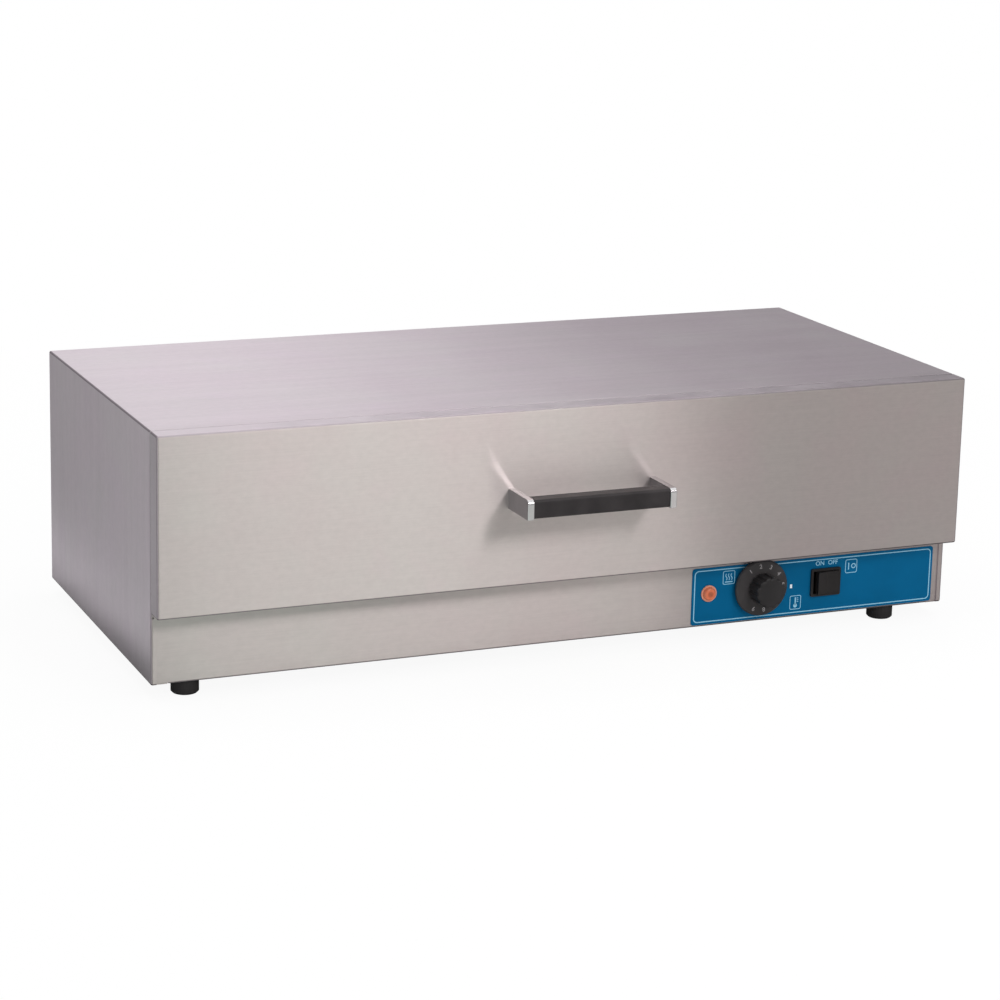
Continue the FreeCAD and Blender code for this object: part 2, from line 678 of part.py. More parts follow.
def rear_panel():
    """Flat back with a bottom flange, vents and the gland's hole."""
    y = (REAR_PANEL_FRONT, REAR_PANEL_BACK)
    plate = block((-PANEL_HALF, PANEL_HALF), y, (TRAY_TOP + EDGE_GAP, PANEL_TOP))
    profile = [
        (REAR_PANEL_BACK - FOOT_FLANGE, CASE_BOTTOM),
        (REAR_PANEL_BACK, CASE_BOTTOM),
        (REAR_PANEL_BACK, TRAY_TOP + EDGE_GAP),
    ]
    face = folded_strip(profile, CASE_SHEET, lambda a, b: Vector(-FLANGE_HALF, a, b))
    fold = face.extrude(Vector(2 * FLANGE_HALF, 0, 0))
    cutters = [rod("Y", (GLAND_X, GLAND_Z), GLAND_THREAD_DIAMETER / 2 + PIN_FIT, y)]
    for px, pz in rear_screw_places():
        cutters.append(rod("Y", (px, pz), SCREW_HOLE, y))
    for px in spread(VENT_FIRST_X, VENT_FIRST_X + VENT_PITCH * (VENT_COUNT - 1), VENT_COUNT):
        cutters.append(rounded_plate(around(px, VENT_WIDTH), y,
                                     around(CASE_BOTTOM + VENT_RISE, VENT_HEIGHT),
                                     VENT_END_RADIUS, Vector(0, 1, 0)))
    corners = lower_corners(HALF_WIDTH - REAR_FLANGE, y)
    return without(joined([plate, fold] + corners), cutters + foot_holes())


def front_fascia():
    """Lower front panel with a bottom flange and the openings of the controls."""
    through = (PANEL_FRONT, PANEL_BACK)
    plate = block((-PANEL_HALF, PANEL_HALF), through, (TRAY_TOP + EDGE_GAP, FASCIA_TOP))
    profile = [
        (PANEL_FRONT, TRAY_TOP + EDGE_GAP),
        (PANEL_FRONT, CASE_BOTTOM),
        (PANEL_FRONT + FOOT_FLANGE, CASE_BOTTOM),
    ]
    face = folded_strip(profile, CASE_SHEET, lambda a, b: Vector(-FLANGE_HALF, a, b))
    fold = face.extrude(Vector(2 * FLANGE_HALF, 0, 0))
    cutters = control_openings(through)
    cutters.append(rod("Y", (DIAL_X, DIAL_Z), FASCIA_SHAFT_OPENING / 2, through))
    for x in around(DIAL_X, THERMOSTAT_SCREW_SPACING):
        cutters.append(rod("Y", (x, DIAL_Z), SCREW_HOLE, through))
    corners = lower_corners(HALF_WIDTH - FRONT_RETURN, through)
    return without(joined([plate, fold] + corners), cutters + foot_holes())


def control_openings(y):
    """Cutters for the pilot light and the switch through the label and the fascia."""
    return [
        rod("Y", (PILOT_X, CONTROL_Z), PILOT_BODY_DIAMETER / 2 + PIN_FIT, y),
        block(around(SWITCH_X, switch_body_width() + 2 * PIN_FIT), y,
              around(CONTROL_Z, switch_body_height() + 2 * PIN_FIT)),
    ]


def switch_body_width():
    return SWITCH_WIDTH - 2 * SWITCH_BODY_MARGIN


def switch_body_height():
    return SWITCH_HEIGHT - 2 * SWITCH_BODY_MARGIN


def label_overlay():
    """Thin printed plate on the fascia."""
    y = (LABEL_FRONT, PANEL_FRONT)
    bottom = CASE_BOTTOM + LABEL_RISE
    plate = rounded_plate((LABEL_LEFT, LABEL_RIGHT), y, (bottom, bottom + LABEL_HEIGHT),
                          LABEL_RADIUS, Vector(0, 1, 0))
    dial_opening = rod("Y", (DIAL_X, DIAL_Z), LABEL_DIAL_OPENING / 2, y)
    return without(plate, control_openings(y) + [dial_opening])


def bottom_tray():
    """Bottom sheet with an upturned rim, on the flanges of wrap, fascia and rear panel."""
    front = PANEL_BACK + EDGE_GAP
    back = REAR_PANEL_FRONT - EDGE_GAP
    height = (TRAY_BOTTOM, TRAY_BOTTOM + 2 * TRAY_RIM)
    box = folded_box((-PANEL_HALF, PANEL_HALF), (front, back), height, CASE_SHEET)
    above = block((-HALF_WIDTH, HALF_WIDTH), (CASE_FRONT, CASE_BACK),
                  (TRAY_BOTTOM + TRAY_RIM, TRAY_BOTTOM + 3 * TRAY_RIM))
    holes = [rod("Z", place, SCREW_HOLE, (TRAY_BOTTOM, TRAY_TOP))
             for place in bottom_screw_places()]
    return without(box, [above] + holes + foot_holes())


def front_frame():
    """Plate round the drawer's opening, behind the case's front returns."""
    y = (PANEL_FRONT, PANEL_BACK)
    plate = block((-PANEL_HALF, PANEL_HALF), y, (FASCIA_TOP, PANEL_TOP))
    window = rounded_plate((-CAVITY_HALF, CAVITY_HALF), y, (WINDOW_BOTTOM, WINDOW_TOP),
                           WINDOW_RADIUS, Vector(0, 1, 0))
    return plate.cut(window)


def foot(x, y):
    """Rubber foot with a chamfered lower edge and a recess for its screw."""
    solid = rod("Z", (x, y), FOOT_DIAMETER / 2, (0, FOOT_HEIGHT))
    lower_rim = [e for e in solid.Edges if e.BoundBox.ZMax < TOUCHING]
    solid = solid.makeChamfer(FOOT_CHAMFER, lower_rim)
    recess = rod("Z", (x, y), FOOT_RECESS_DIAMETER / 2, (0, FOOT_RECESS_DEPTH))
    hole = rod("Z", (x, y), SCREW_RADIUS + PIN_FIT, (0, FOOT_HEIGHT))
    return without(solid, [recess, hole])


def foot_screws():
    """A screw up through each foot, with its nut on the tray."""
    solids = []
    nut_span = (TRAY_TOP, TRAY_TOP + NUT_THICKNESS)
    length = nut_span[1] + FOOT_SCREW_END - FOOT_RECESS_DEPTH
    for name, x, y in foot_places():
        solids.append(screw(Vector(x, y, FOOT_RECESS_DEPTH), Vector(0, 0, 1), length))
        solids.append(nut("Z", (x, y), nut_span))
    return Part.makeCompound(solids)


def case_screws():
    """Screws through the rear flanges and up through the bottom flanges."""
    length = 2 * CASE_SHEET + SCREW_GRIP
    solids = [screw(Vector(x, CASE_BACK, z), Vector(0, -1, 0), length)
              for x, z in rear_screw_places()]
    solids += [screw(Vector(x, y, CASE_BOTTOM), Vector(0, 0, 1), length)
               for x, y in bottom_screw_places()]
    return Part.makeCompound(solids)


# ------------------------------------------------------------ cavity and insulation

def cavity_liner():
    """Heated box, open at the front, with a flange that meets the front frame."""
    sheet = LINER_SHEET
    x = (-CAVITY_HALF - sheet, CAVITY_HALF + sheet)
    z = (CAVITY_FLOOR - sheet, CAVITY_ROOF + sheet)
    box = folded_box(x, (CAVITY_FRONT - 2 * LINER_FLANGE, CAVITY_BACK + sheet), z, sheet)
    ahead = block((x[0] - LINER_FLANGE, x[1] + LINER_FLANGE),
                  (CAVITY_FRONT - 3 * LINER_FLANGE, CAVITY_FRONT),
                  (z[0] - LINER_FLANGE, z[1] + LINER_FLANGE))
    flange = block((x[0] - LINER_FLANGE, x[1] + LINER_FLANGE),
                   (CAVITY_FRONT, CAVITY_FRONT + sheet),
                   (z[0] - LINER_FLANGE, z[1] + LINER_FLANGE))
    mouth = block((-CAVITY_HALF, CAVITY_HALF), (CAVITY_FRONT, CAVITY_FRONT + sheet),
                  (CAVITY_FLOOR, CAVITY_ROOF))
    body = joined([box.cut(ahead), flange.cut(mouth)])
    return without(body, leg_holes(ELEMENT_FIT) + [capillary_hole(SOFT_GAP)])


def leg_holes(clearance):
    """Cutters for the element's two legs through the cavity's floor."""
    radius = ELEMENT_DIAMETER / 2 + clearance
    z = (CASE_BOTTOM, CAVITY_FLOOR)
    return [rod("Z", (ELEMENT_LEG_X, y), radius, z) for y in (ELEMENT_FIRST_Y, ELEMENT_LAST_Y)]


def capillary_hole(clearance):
    """Cutter for the capillary through the cavity's floor."""
    return rod("Z", (BULB_X, capillary_rise_y()), CAPILLARY_DIAMETER / 2 + clearance,
               (CASE_BOTTOM, CAVITY_FLOOR))


def capillary_rise_y():
    """Y at which the capillary turns up through the floor."""
    return BULB_Y - 2 * CAPILLARY_BEND


def insulation_over():
    """Blanket over the liner's roof and down both of its sides."""
    y = (CAVITY_FRONT + LINER_SHEET + SOFT_GAP, CAVITY_BACK + LINER_SHEET)
    outer_half = HALF_WIDTH - CASE_SHEET - SOFT_GAP
    inner_half = CAVITY_HALF + LINER_SHEET + SOFT_GAP
    bottom = CAVITY_FLOOR - LINER_SHEET - FLOOR_INSULATION
    whole = block((-outer_half, outer_half), y, (bottom, CASE_TOP - CASE_SHEET - SOFT_GAP))
    round_edges = [e for e in edges_along(whole, Vector(0, 1, 0)) if e.BoundBox.ZMin > CAVITY_ROOF]
    whole = whole.makeFillet(BEND_RADIUS, round_edges)
    inside = block((-inner_half, inner_half), y, (bottom, CAVITY_ROOF + LINER_SHEET + SOFT_GAP))
    return whole.cut(inside)


def insulation_rear():
    """Blanket between the liner and the rear panel."""
    half = CAVITY_HALF + LINER_SHEET
    return block((-half, half),
                 (CAVITY_BACK + LINER_SHEET + SOFT_GAP, REAR_PANEL_FRONT - SOFT_GAP),
                 (CAVITY_FLOOR - LINER_SHEET - FLOOR_INSULATION, CAVITY_ROOF + LINER_SHEET))


def insulation_floor():
    """Blanket under the cavity's floor."""
    top = CAVITY_FLOOR - LINER_SHEET - SOFT_GAP
    sheet = block((-CAVITY_HALF, CAVITY_HALF),
                  (CAVITY_FRONT + LINER_SHEET + SOFT_GAP, CAVITY_BACK),
                  (top - FLOOR_INSULATION + SOFT_GAP, top))
    window = block(around(CUTOUT_X, CUTOUT_WINDOW), around(CUTOUT_Y, CUTOUT_WINDOW),
                   (CASE_BOTTOM, CAVITY_FLOOR))
    return without(sheet, leg_holes(POCKET_MARGIN) + [capillary_hole(POCKET_MARGIN), window])


# ------------------------------------------------------------ heat


def heating_element():
    """Sheathed tube in long runs over the floor, its two legs down through it."""
    leg_foot = Vector(ELEMENT_LEG_X, ELEMENT_FIRST_Y, ELEMENT_LEG_END)
    points = [leg_foot, Vector(ELEMENT_LEG_X, ELEMENT_FIRST_Y, ELEMENT_Z)]
    bends = [ELEMENT_LEG_BEND]
    for run in range(ELEMENT_RUNS - 1):
        x = ELEMENT_LEFT if run % 2 == 0 else ELEMENT_RIGHT
        y = ELEMENT_FIRST_Y + run * ELEMENT_PITCH
        points += [Vector(x, y, ELEMENT_Z), Vector(x, y + ELEMENT_PITCH, ELEMENT_Z)]
        bends += [ELEMENT_PITCH / 2, ELEMENT_PITCH / 2]
    points += [Vector(ELEMENT_LEG_X, ELEMENT_LAST_Y, ELEMENT_Z),
               Vector(ELEMENT_LEG_X, ELEMENT_LAST_Y, ELEMENT_LEG_END)]
    bends.append(ELEMENT_LEG_BEND)
    return tube(points, bends, ELEMENT_DIAMETER / 2)


def element_terminals():
    """Ceramic bead and steel pin at the end of each leg."""
    solids = []
    bead = (ELEMENT_LEG_END - TERMINAL_BEAD_LENGTH, ELEMENT_LEG_END)
    pin = (bead[0] - TERMINAL_PIN_LENGTH, bead[0])
    for y in (ELEMENT_FIRST_Y, ELEMENT_LAST_Y):
        place = (ELEMENT_LEG_X, y)
        solids.append(joined([rod("Z", place, TERMINAL_BEAD_DIAMETER / 2, bead),
                              rod("Z", place, TERMINAL_PIN_DIAMETER / 2, pin)]))
    return Part.makeCompound(solids)


def element_supports():
    """Upright strips on the cavity's floor that the element's runs pass through."""
    solids = []
    y = (ELEMENT_FIRST_Y - SUPPORT_OVERHANG, ELEMENT_LAST_Y + SUPPORT_OVERHANG)
    half_span = SUPPORT_PITCH * (SUPPORT_COUNT - 1) / 2
    for x in spread(-half_span, half_span, SUPPORT_COUNT):
        upright = block(around(x, SUPPORT_SHEET), y, (CAVITY_FLOOR, CAVITY_FLOOR + SUPPORT_HEIGHT))
        toe = block((x, x + SUPPORT_HEIGHT), y, (CAVITY_FLOOR, CAVITY_FLOOR + SUPPORT_SHEET))
        holes = [rod("X", (ELEMENT_FIRST_Y + run * ELEMENT_PITCH, ELEMENT_Z),
                     ELEMENT_DIAMETER / 2 + ELEMENT_FIT, around(x, 2 * SUPPORT_SHEET))
                 for run in range(ELEMENT_RUNS)]
        solids.append(without(joined([upright, toe]), holes))
    return Part.makeCompound(solids)


def heat_baffle():
    """Slotted plate over the element, on two folded legs."""
    half = CAVITY_HALF - BAFFLE_SIDE_GAP
    top = CAVITY_FLOOR + BAFFLE_RISE
    y = (CAVITY_FRONT + BAFFLE_FRONT_GAP, CAVITY_BACK - BAFFLE_REAR_GAP)
    profile = [(half, CAVITY_FLOOR), (half, top), (-half, top), (-half, CAVITY_FLOOR)]
    face = folded_strip(profile, BAFFLE_SHEET, lambda a, b: Vector(a, y[0], b))
    plate = face.extrude(Vector(0, y[1] - y[0], 0))
    column_span = BAFFLE_COLUMN_PITCH * (BAFFLE_COLUMNS - 1) / 2
    row_span = BAFFLE_ROW_PITCH * (BAFFLE_ROWS - 1) / 2
    middle = (y[0] + y[1]) / 2
    slots = []
    for x in spread(-column_span, column_span, BAFFLE_COLUMNS):
        for row in spread(middle - row_span, middle + row_span, BAFFLE_ROWS):
            slots.append(block(around(x, BAFFLE_SLOT_LENGTH), around(row, BAFFLE_SLOT_WIDTH),
                               (top - BAFFLE_SHEET, top)))
    return without(plate, slots)


def high_limit_cutout():
    """Disc thermostat against the underside of the cavity's floor, with two tabs."""
    top = CAVITY_FLOOR - LINER_SHEET
    bottom = top - CUTOUT_HEIGHT
    disc = rod("Z", (CUTOUT_X, CUTOUT_Y), CUTOUT_DIAMETER / 2, (bottom, top))
    tabs = [block(around(x, TAB_THICKNESS), around(CUTOUT_Y, TAB_WIDTH),
                  (bottom - CUTOUT_TAB_HEIGHT, bottom))
            for x in around(CUTOUT_X, CUTOUT_TAB_SPACING)]
    return joined([disc] + tabs)


# ------------------------------------------------------------ thermostat and dial

def thermostat_body():
    """Housing behind the fascia, bored for the shaft."""
    y = (PANEL_BACK, PANEL_BACK + THERMOSTAT_DEPTH)
    body = rounded_plate(around(DIAL_X, THERMOSTAT_WIDTH), y, around(DIAL_Z, THERMOSTAT_HEIGHT),
                         THERMOSTAT_EDGE_RADIUS, Vector(0, 1, 0))
    bore = rod("Y", (DIAL_X, DIAL_Z), SHAFT_DIAMETER / 2 + PIN_FIT,
               (PANEL_BACK, PANEL_BACK + SHAFT_IN_BODY + SLIDE_GAP))
    screw_holes = [rod("Y", (x, DIAL_Z), SCREW_RADIUS + PIN_FIT,
                       (PANEL_BACK, PANEL_BACK + SCREW_GRIP + SLIDE_GAP))
                   for x in around(DIAL_X, THERMOSTAT_SCREW_SPACING)]
    tabs = [block(around(x, TAB_THICKNESS), (y[1], y[1] + TAB_LENGTH),
                  around(upper_tab_z(), TAB_WIDTH))
            for x in around(DIAL_X, THERMOSTAT_TAB_SPACING)]
    return without(joined([body] + tabs), [bore] + screw_holes)


def upper_tab_z():
    """Height of the switch's upper tabs and of the thermostat's."""
    return around(CONTROL_Z, switch_body_height() / 2)[1]


def thermostat_screws():
    """Two screws through the fascia into the thermostat, under the dial's skirt."""
    return Part.makeCompound([
        screw(Vector(x, PANEL_FRONT, DIAL_Z), Vector(0, 1, 0), CASE_SHEET + SCREW_GRIP)
        for x in around(DIAL_X, THERMOSTAT_SCREW_SPACING)])


def skirt_span():
    """Y span of the dial's skirt."""
    back = CASE_FRONT - DIAL_STANDOFF
    return (back - SKIRT_THICKNESS, back)


def thermostat_shaft():
    """Round shaft from the thermostat into the dial's grip."""
    return rod("Y", (DIAL_X, DIAL_Z), SHAFT_DIAMETER / 2,
               (skirt_span()[0] - SHAFT_IN_GRIP, PANEL_BACK + SHAFT_IN_BODY))


def dial_knob():
    """Skirted dial with a fluted grip, bored for the shaft."""
    front, back = skirt_span()
    skirt = rod("Y", (DIAL_X, DIAL_Z), DIAL_DIAMETER / 2, (front, back))
    front_rim = [e for e in skirt.Edges if abs(e.BoundBox.YMax - front) < TOUCHING]
    skirt = skirt.makeChamfer(SKIRT_BEVEL, front_rim)
    grip = rod("Y", (DIAL_X, DIAL_Z), GRIP_DIAMETER / 2, (front - GRIP_LENGTH, front))
    flutes = []
    ring = GRIP_DIAMETER / 2 + GRIP_FLUTE_RADIUS / 2
    for step in range(GRIP_FLUTES):
        angle = 2 * math.pi * step / GRIP_FLUTES
        place = (DIAL_X + ring * math.cos(angle), DIAL_Z + ring * math.sin(angle))
        flutes.append(rod("Y", place, GRIP_FLUTE_RADIUS, (front - GRIP_LENGTH, front)))
    grip = without(grip, flutes)
    nose = [e for e in grip.Edges if abs(e.BoundBox.YMax - front + GRIP_LENGTH) < TOUCHING]
    grip = grip.makeChamfer(GRIP_EDGE_RADIUS, nose)
    bore = rod("Y", (DIAL_X, DIAL_Z), SHAFT_DIAMETER / 2 + PIN_FIT,
               (front - SHAFT_IN_GRIP - SLIDE_GAP, back))
    return joined([skirt, grip]).cut(bore)


def thermostat_capillary():
    """Thin tube from the thermostat up through the cavity's floor, ending in the bulb."""
    start_y = PANEL_BACK + THERMOSTAT_DEPTH
    rise_y = capillary_rise_y()
    z = DIAL_Z + THERMOSTAT_HEIGHT / 4
    points = [
        Vector(DIAL_X, start_y, z),
        Vector(DIAL_X, start_y + CAPILLARY_LEAD, z),
        Vector(BULB_X, rise_y, z),
        Vector(BULB_X, rise_y, BULB_Z),
        Vector(BULB_X, BULB_Y, BULB_Z),
    ]
    lead = tube(points, [CAPILLARY_BEND] * 3, CAPILLARY_DIAMETER / 2)
    bulb = rod("Y", (BULB_X, BULB_Z), BULB_DIAMETER / 2, (BULB_Y, BULB_Y + BULB_LENGTH))
    return joined([lead, bulb])


def bulb_clips():
    """Two clips on the cavity's wall that hold the bulb."""
    x = (BULB_X - BULB_DIAMETER, CAVITY_HALF)
    clips = []
    for y in around(BULB_Y + BULB_LENGTH / 2, BULB_CLIP_SPACING):
        clip = block(x, around(y, BULB_CLIP_WIDTH), around(BULB_Z, BULB_CLIP_HEIGHT))
        clips.append(clip.cut(rod("Y", (BULB_X, BULB_Z), BULB_DIAMETER / 2 + PIN_FIT,
                                  around(y, 2 * BULB_CLIP_WIDTH))))
    return Part.makeCompound(clips)


# ------------------------------------------------------------ pilot light and switch

def pilot_light_lens():
    """Domed lens with a flat rim on the label."""
    place = (PILOT_X, CONTROL_Z)
    rim = rod("Y", place, PILOT_DIAMETER / 2, (LABEL_FRONT - PILOT_RIM, LABEL_FRONT))
    front = LABEL_FRONT - PILOT_RIM - PILOT_DOME_HEIGHT
    dome = rod("Y", place, PILOT_DOME_DIAMETER / 2, (front, LABEL_FRONT))
    nose = [e for e in dome.Edges if abs(e.BoundBox.YMax - front) < TOUCHING]
    return joined([rim, dome.makeFillet(PILOT_DOME_RADIUS, nose)])


def pilot_light_body():
    """Lamp holder through label and fascia, and the nut behind the fascia."""
    place = (PILOT_X, CONTROL_Z)
    body = rod("Y", place, PILOT_BODY_DIAMETER / 2, (LABEL_FRONT, LABEL_FRONT + PILOT_BODY_LENGTH))
    span = (PANEL_BACK, PANEL_BACK + PILOT_NUT_THICKNESS)
    ring = hexagon("Y", place, PILOT_NUT_WIDTH, span)
    ring = ring.cut(rod("Y", place, PILOT_BODY_DIAMETER / 2 + PIN_FIT, span))
    return Part.makeCompound([body, ring])


def switch_pocket():
    """Width and height of the pocket that the rocker turns in."""
    return (SWITCH_WIDTH - 2 * SWITCH_RIM, SWITCH_HEIGHT - 2 * SWITCH_RIM)


def rocker_pivot():
    """X and Y of the rocker's upright pivot."""
    return (SWITCH_X, PANEL_BACK)


def switch_housing():
    """Bezel on the label and body through the fascia, with a pocket and four tabs."""
    bezel_front = LABEL_FRONT - SWITCH_BEZEL
    body_back = PANEL_BACK + SWITCH_BODY_DEPTH
    bezel = rounded_plate(around(SWITCH_X, SWITCH_WIDTH), (bezel_front, LABEL_FRONT),
                          around(CONTROL_Z, SWITCH_HEIGHT), SWITCH_CORNER_RADIUS, Vector(0, 1, 0))
    body = block(around(SWITCH_X, switch_body_width()), (LABEL_FRONT, body_back),
                 around(CONTROL_Z, switch_body_height()))
    tabs = [block(around(x, TAB_THICKNESS), (body_back, body_back + TAB_LENGTH),
                  around(z, TAB_WIDTH))
            for x in around(SWITCH_X, switch_body_width() / 2)
            for z in around(CONTROL_Z, switch_body_height() / 2)]
    width, height = switch_pocket()
    pocket = block(around(SWITCH_X, width), (bezel_front, bezel_front + SWITCH_POCKET_DEPTH),
                   around(CONTROL_Z, height))
    pin_bore = rod("Z", rocker_pivot(), ROCKER_PIN_DIAMETER / 2 + PIN_FIT,
                   around(CONTROL_Z, height + 2 * SLIDE_GAP))
    return without(joined([bezel, body] + tabs), [pocket, pin_bore])


def switch_rocker():
    """Dished rocker on an upright pin, resting with its left end raised."""
    width, height = switch_pocket()
    pivot_x, pivot_y = rocker_pivot()
    reach = width / 2 - ROCKER_SHOULDER
    front = LABEL_FRONT - SWITCH_BEZEL - ROCKER_PROUD
    outline = [
        (pivot_x - reach, front),
        (pivot_x, front + ROCKER_DISH),
        (pivot_x + reach, front),
        (pivot_x + reach - ROCKER_SHOULDER, pivot_y),
        (pivot_x, pivot_y + ROCKER_KEEL),
        (pivot_x - reach + ROCKER_SHOULDER, pivot_y),
    ]
    tall = around(CONTROL_Z, height - 2 * ROCKER_CLEARANCE)
    corners = [Vector(a, b, tall[0]) for a, b in outline + outline[:1]]
    body = Part.Face(Part.makePolygon(corners)).extrude(Vector(0, 0, tall[1] - tall[0]))
    pin = rod("Z", (pivot_x, pivot_y), ROCKER_PIN_DIAMETER / 2, around(CONTROL_Z, height))
    rocker = joined([body, pin])
    rocker.rotate(Vector(pivot_x, pivot_y, CONTROL_Z), Vector(0, 0, 1), ROCKER_TILT)
    return rocker


# ------------------------------------------------------------ electrical pieces in the base

def terminal_block():
    """Three-pole block on the tray, with screw wells on top and wire holes at the front."""
    x = around(BLOCK_X, BLOCK_LENGTH)
    y = around(BLOCK_Y, BLOCK_DEPTH)
    top = TRAY_TOP + BLOCK_HEIGHT
    cutters = []
    for px in pole_places():
        cutters.append(rod("Z", (px, BLOCK_Y), BLOCK_SCREW_DIAMETER / 2,
                           (top - BLOCK_SCREW_DEPTH, top)))
        cutters.append(rod("Y", (px, TRAY_TOP + BLOCK_HEIGHT / 3), BLOCK_WIRE_DIAMETER / 2, y))
    return without(block(x, y, (TRAY_TOP, top)), cutters)


def pole_places():
    """X of the terminal block's poles."""
    half_span = BLOCK_POLE_PITCH * (BLOCK_POLES - 1) / 2
    return spread(BLOCK_X - half_span, BLOCK_X + half_span, BLOCK_POLES)


def ground_stud():
    """Welded stud on the tray with two nuts."""
    place = (GROUND_X, GROUND_Y)
    stud = rod("Z", place, SCREW_RADIUS, (TRAY_TOP, TRAY_TOP + GROUND_STUD_LENGTH))
    lower = (TRAY_TOP, TRAY_TOP + NUT_THICKNESS)
    upper = (lower[1] + GROUND_NUT_GAP, lower[1] + GROUND_NUT_GAP + NUT_THICKNESS)
    return Part.makeCompound([stud, nut("Z", place, lower), nut("Z", place, upper)])


def cord_gland():
    """Threaded gland through the rear panel, open right through, with no cord in it."""
    place = (GLAND_X, GLAND_Z)
    start = REAR_PANEL_BACK
    flange = hexagon("Y", place, GLAND_WIDTH, (start, start + GLAND_FLANGE))
    nose = rod("Y", place, GLAND_NOSE_DIAMETER / 2, (start, start + GLAND_REACH))
    thread = rod("Y", place, GLAND_THREAD_DIAMETER / 2,
                 (REAR_PANEL_FRONT - GLAND_INNER_LENGTH, start))
    bore = rod("Y", place, GLAND_BORE_DIAMETER / 2,
               (REAR_PANEL_FRONT - GLAND_INNER_LENGTH, start + GLAND_REACH))
    return joined([flange, nose, thread]).cut(bore)


def gland_locknut():
    """Nut that clamps the gland to the inside of the rear panel."""
    place = (GLAND_X, GLAND_Z)
    span = (REAR_PANEL_FRONT - GLAND_NUT_THICKNESS, REAR_PANEL_FRONT)
    return hexagon("Y", place, GLAND_WIDTH, span).cut(
        rod("Y", place, GLAND_THREAD_DIAMETER / 2 + PIN_FIT, span))


def lead(*points):
    """One insulated lead through the given points."""
    return tube([Vector(*point) for point in points], [WIRE_BEND] * (len(points) - 2),
                WIRE_DIAMETER / 2)


def internal_wiring():
    """Leads between pilot light, switch, thermostat, cutout, element and terminal block."""
    switch_back = PANEL_BACK + SWITCH_BODY_DEPTH + TAB_LENGTH
    thermostat_back = PANEL_BACK + THERMOSTAT_DEPTH + TAB_LENGTH
    pilot_back = LABEL_FRONT + PILOT_BODY_LENGTH
    switch_tabs_x = around(SWITCH_X, switch_body_width() / 2)
    thermostat_tabs_x = around(DIAL_X, THERMOSTAT_TAB_SPACING)
    low_tab_z, high_tab_z = around(CONTROL_Z, switch_body_height() / 2)
    block_front = BLOCK_Y - BLOCK_DEPTH / 2
    block_z = TRAY_TOP + BLOCK_HEIGHT / 3
    poles = pole_places()
    run_z = TRAY_TOP + WIRE_FLOOR_GAP
    pin_end = ELEMENT_LEG_END - TERMINAL_BEAD_LENGTH - TERMINAL_PIN_LENGTH
    leads = []
    middle_y = (switch_back + block_front) / 2
    for tab_x, pole_x in zip(switch_tabs_x, poles[1:]):
        leads.append(lead((tab_x, switch_back, low_tab_z), (tab_x, middle_y, low_tab_z),
                          (pole_x, middle_y + WIRE_JOG, block_z), (pole_x, block_front, block_z)))
    pilot_y = CASE_FRONT + PILOT_LANE
    leads.append(lead((PILOT_X, pilot_back, CONTROL_Z), (PILOT_X, pilot_y, CONTROL_Z),
                      (poles[0], pilot_y, block_z), (poles[0], block_front, block_z)))
    switch_y = CASE_FRONT + SWITCH_LANE
    leads.append(lead((switch_tabs_x[0], switch_back, high_tab_z),
                      (switch_tabs_x[0], switch_y, high_tab_z),
                      (thermostat_tabs_x[1], switch_y, high_tab_z),
                      (thermostat_tabs_x[1], thermostat_back, high_tab_z)))
    heater_y = CASE_FRONT + HEATER_LANE
    leads.append(lead((thermostat_tabs_x[0], thermostat_back, high_tab_z),
                      (thermostat_tabs_x[0], heater_y, high_tab_z),
                      (thermostat_tabs_x[0], heater_y, run_z),
                      (ELEMENT_LEG_X, heater_y, run_z),
                      (ELEMENT_LEG_X, ELEMENT_FIRST_Y, run_z),
                      (ELEMENT_LEG_X, ELEMENT_FIRST_Y, pin_end)))
    cutout_bottom = CAVITY_FLOOR - LINER_SHEET - CUTOUT_HEIGHT - CUTOUT_TAB_HEIGHT
    cutout_tab_x = around(CUTOUT_X, CUTOUT_TAB_SPACING)[1]
    leads.append(lead((cutout_tab_x, CUTOUT_Y, cutout_bottom), (cutout_tab_x, CUTOUT_Y, run_z),
                      (ELEMENT_LEG_X, CUTOUT_Y, run_z), (ELEMENT_LEG_X, ELEMENT_LAST_Y, run_z),
                      (ELEMENT_LEG_X, ELEMENT_LAST_Y, pin_end)))
    return Part.makeCompound(leads)


# ------------------------------------------------------------ drawer slides

def slide_x(side, near, far):
    """X span of a slide's layer from its distances to the cavity's wall."""
    return tuple(sorted((side * (CAVITY_HALF - near), side * (CAVITY_HALF - far))))


def slide_y():
    return (SLIDE_FRONT, SLIDE_BACK)


def channel(side, web, lips, half_height):
    """A folded slide member: web and lips are distances from the cavity's wall."""
    y = slide_y()
    upright = block(slide_x(side, *web), y, around(SLIDE_Z, 2 * half_height))
    upper = block(slide_x(side, *lips), y,
                  (SLIDE_Z + half_height - SLIDE_SHEET, SLIDE_Z + half_height))
    lower = block(slide_x(side, *lips), y,
                  (SLIDE_Z - half_height, SLIDE_Z - half_height + SLIDE_SHEET))
    return joined([upright, upper, lower])


def slide_outer(side):
    """Cabinet member, against the cavity's wall."""
    return channel(side, (0, SLIDE_SHEET), (0, OUTER_LIP), OUTER_HALF)


def slide_middle(side):
    """Middle member."""
    return channel(side, (MIDDLE_START, MIDDLE_START + SLIDE_SHEET), (MIDDLE_START, MIDDLE_LIP),
                   MIDDLE_HALF)


def slide_inner(side):
    """Drawer member, screwed to the drawer's rail."""
    member = channel(side, (SLIDE_THICKNESS - SLIDE_SHEET, SLIDE_THICKNESS),
                     (INNER_START, SLIDE_THICKNESS), INNER_HALF)
    holes = [rod("X", (y, SLIDE_Z), SCREW_HOLE, slide_x(side, INNER_START, SLIDE_THICKNESS))
             for y in slide_screw_places()]
    return without(member, holes)


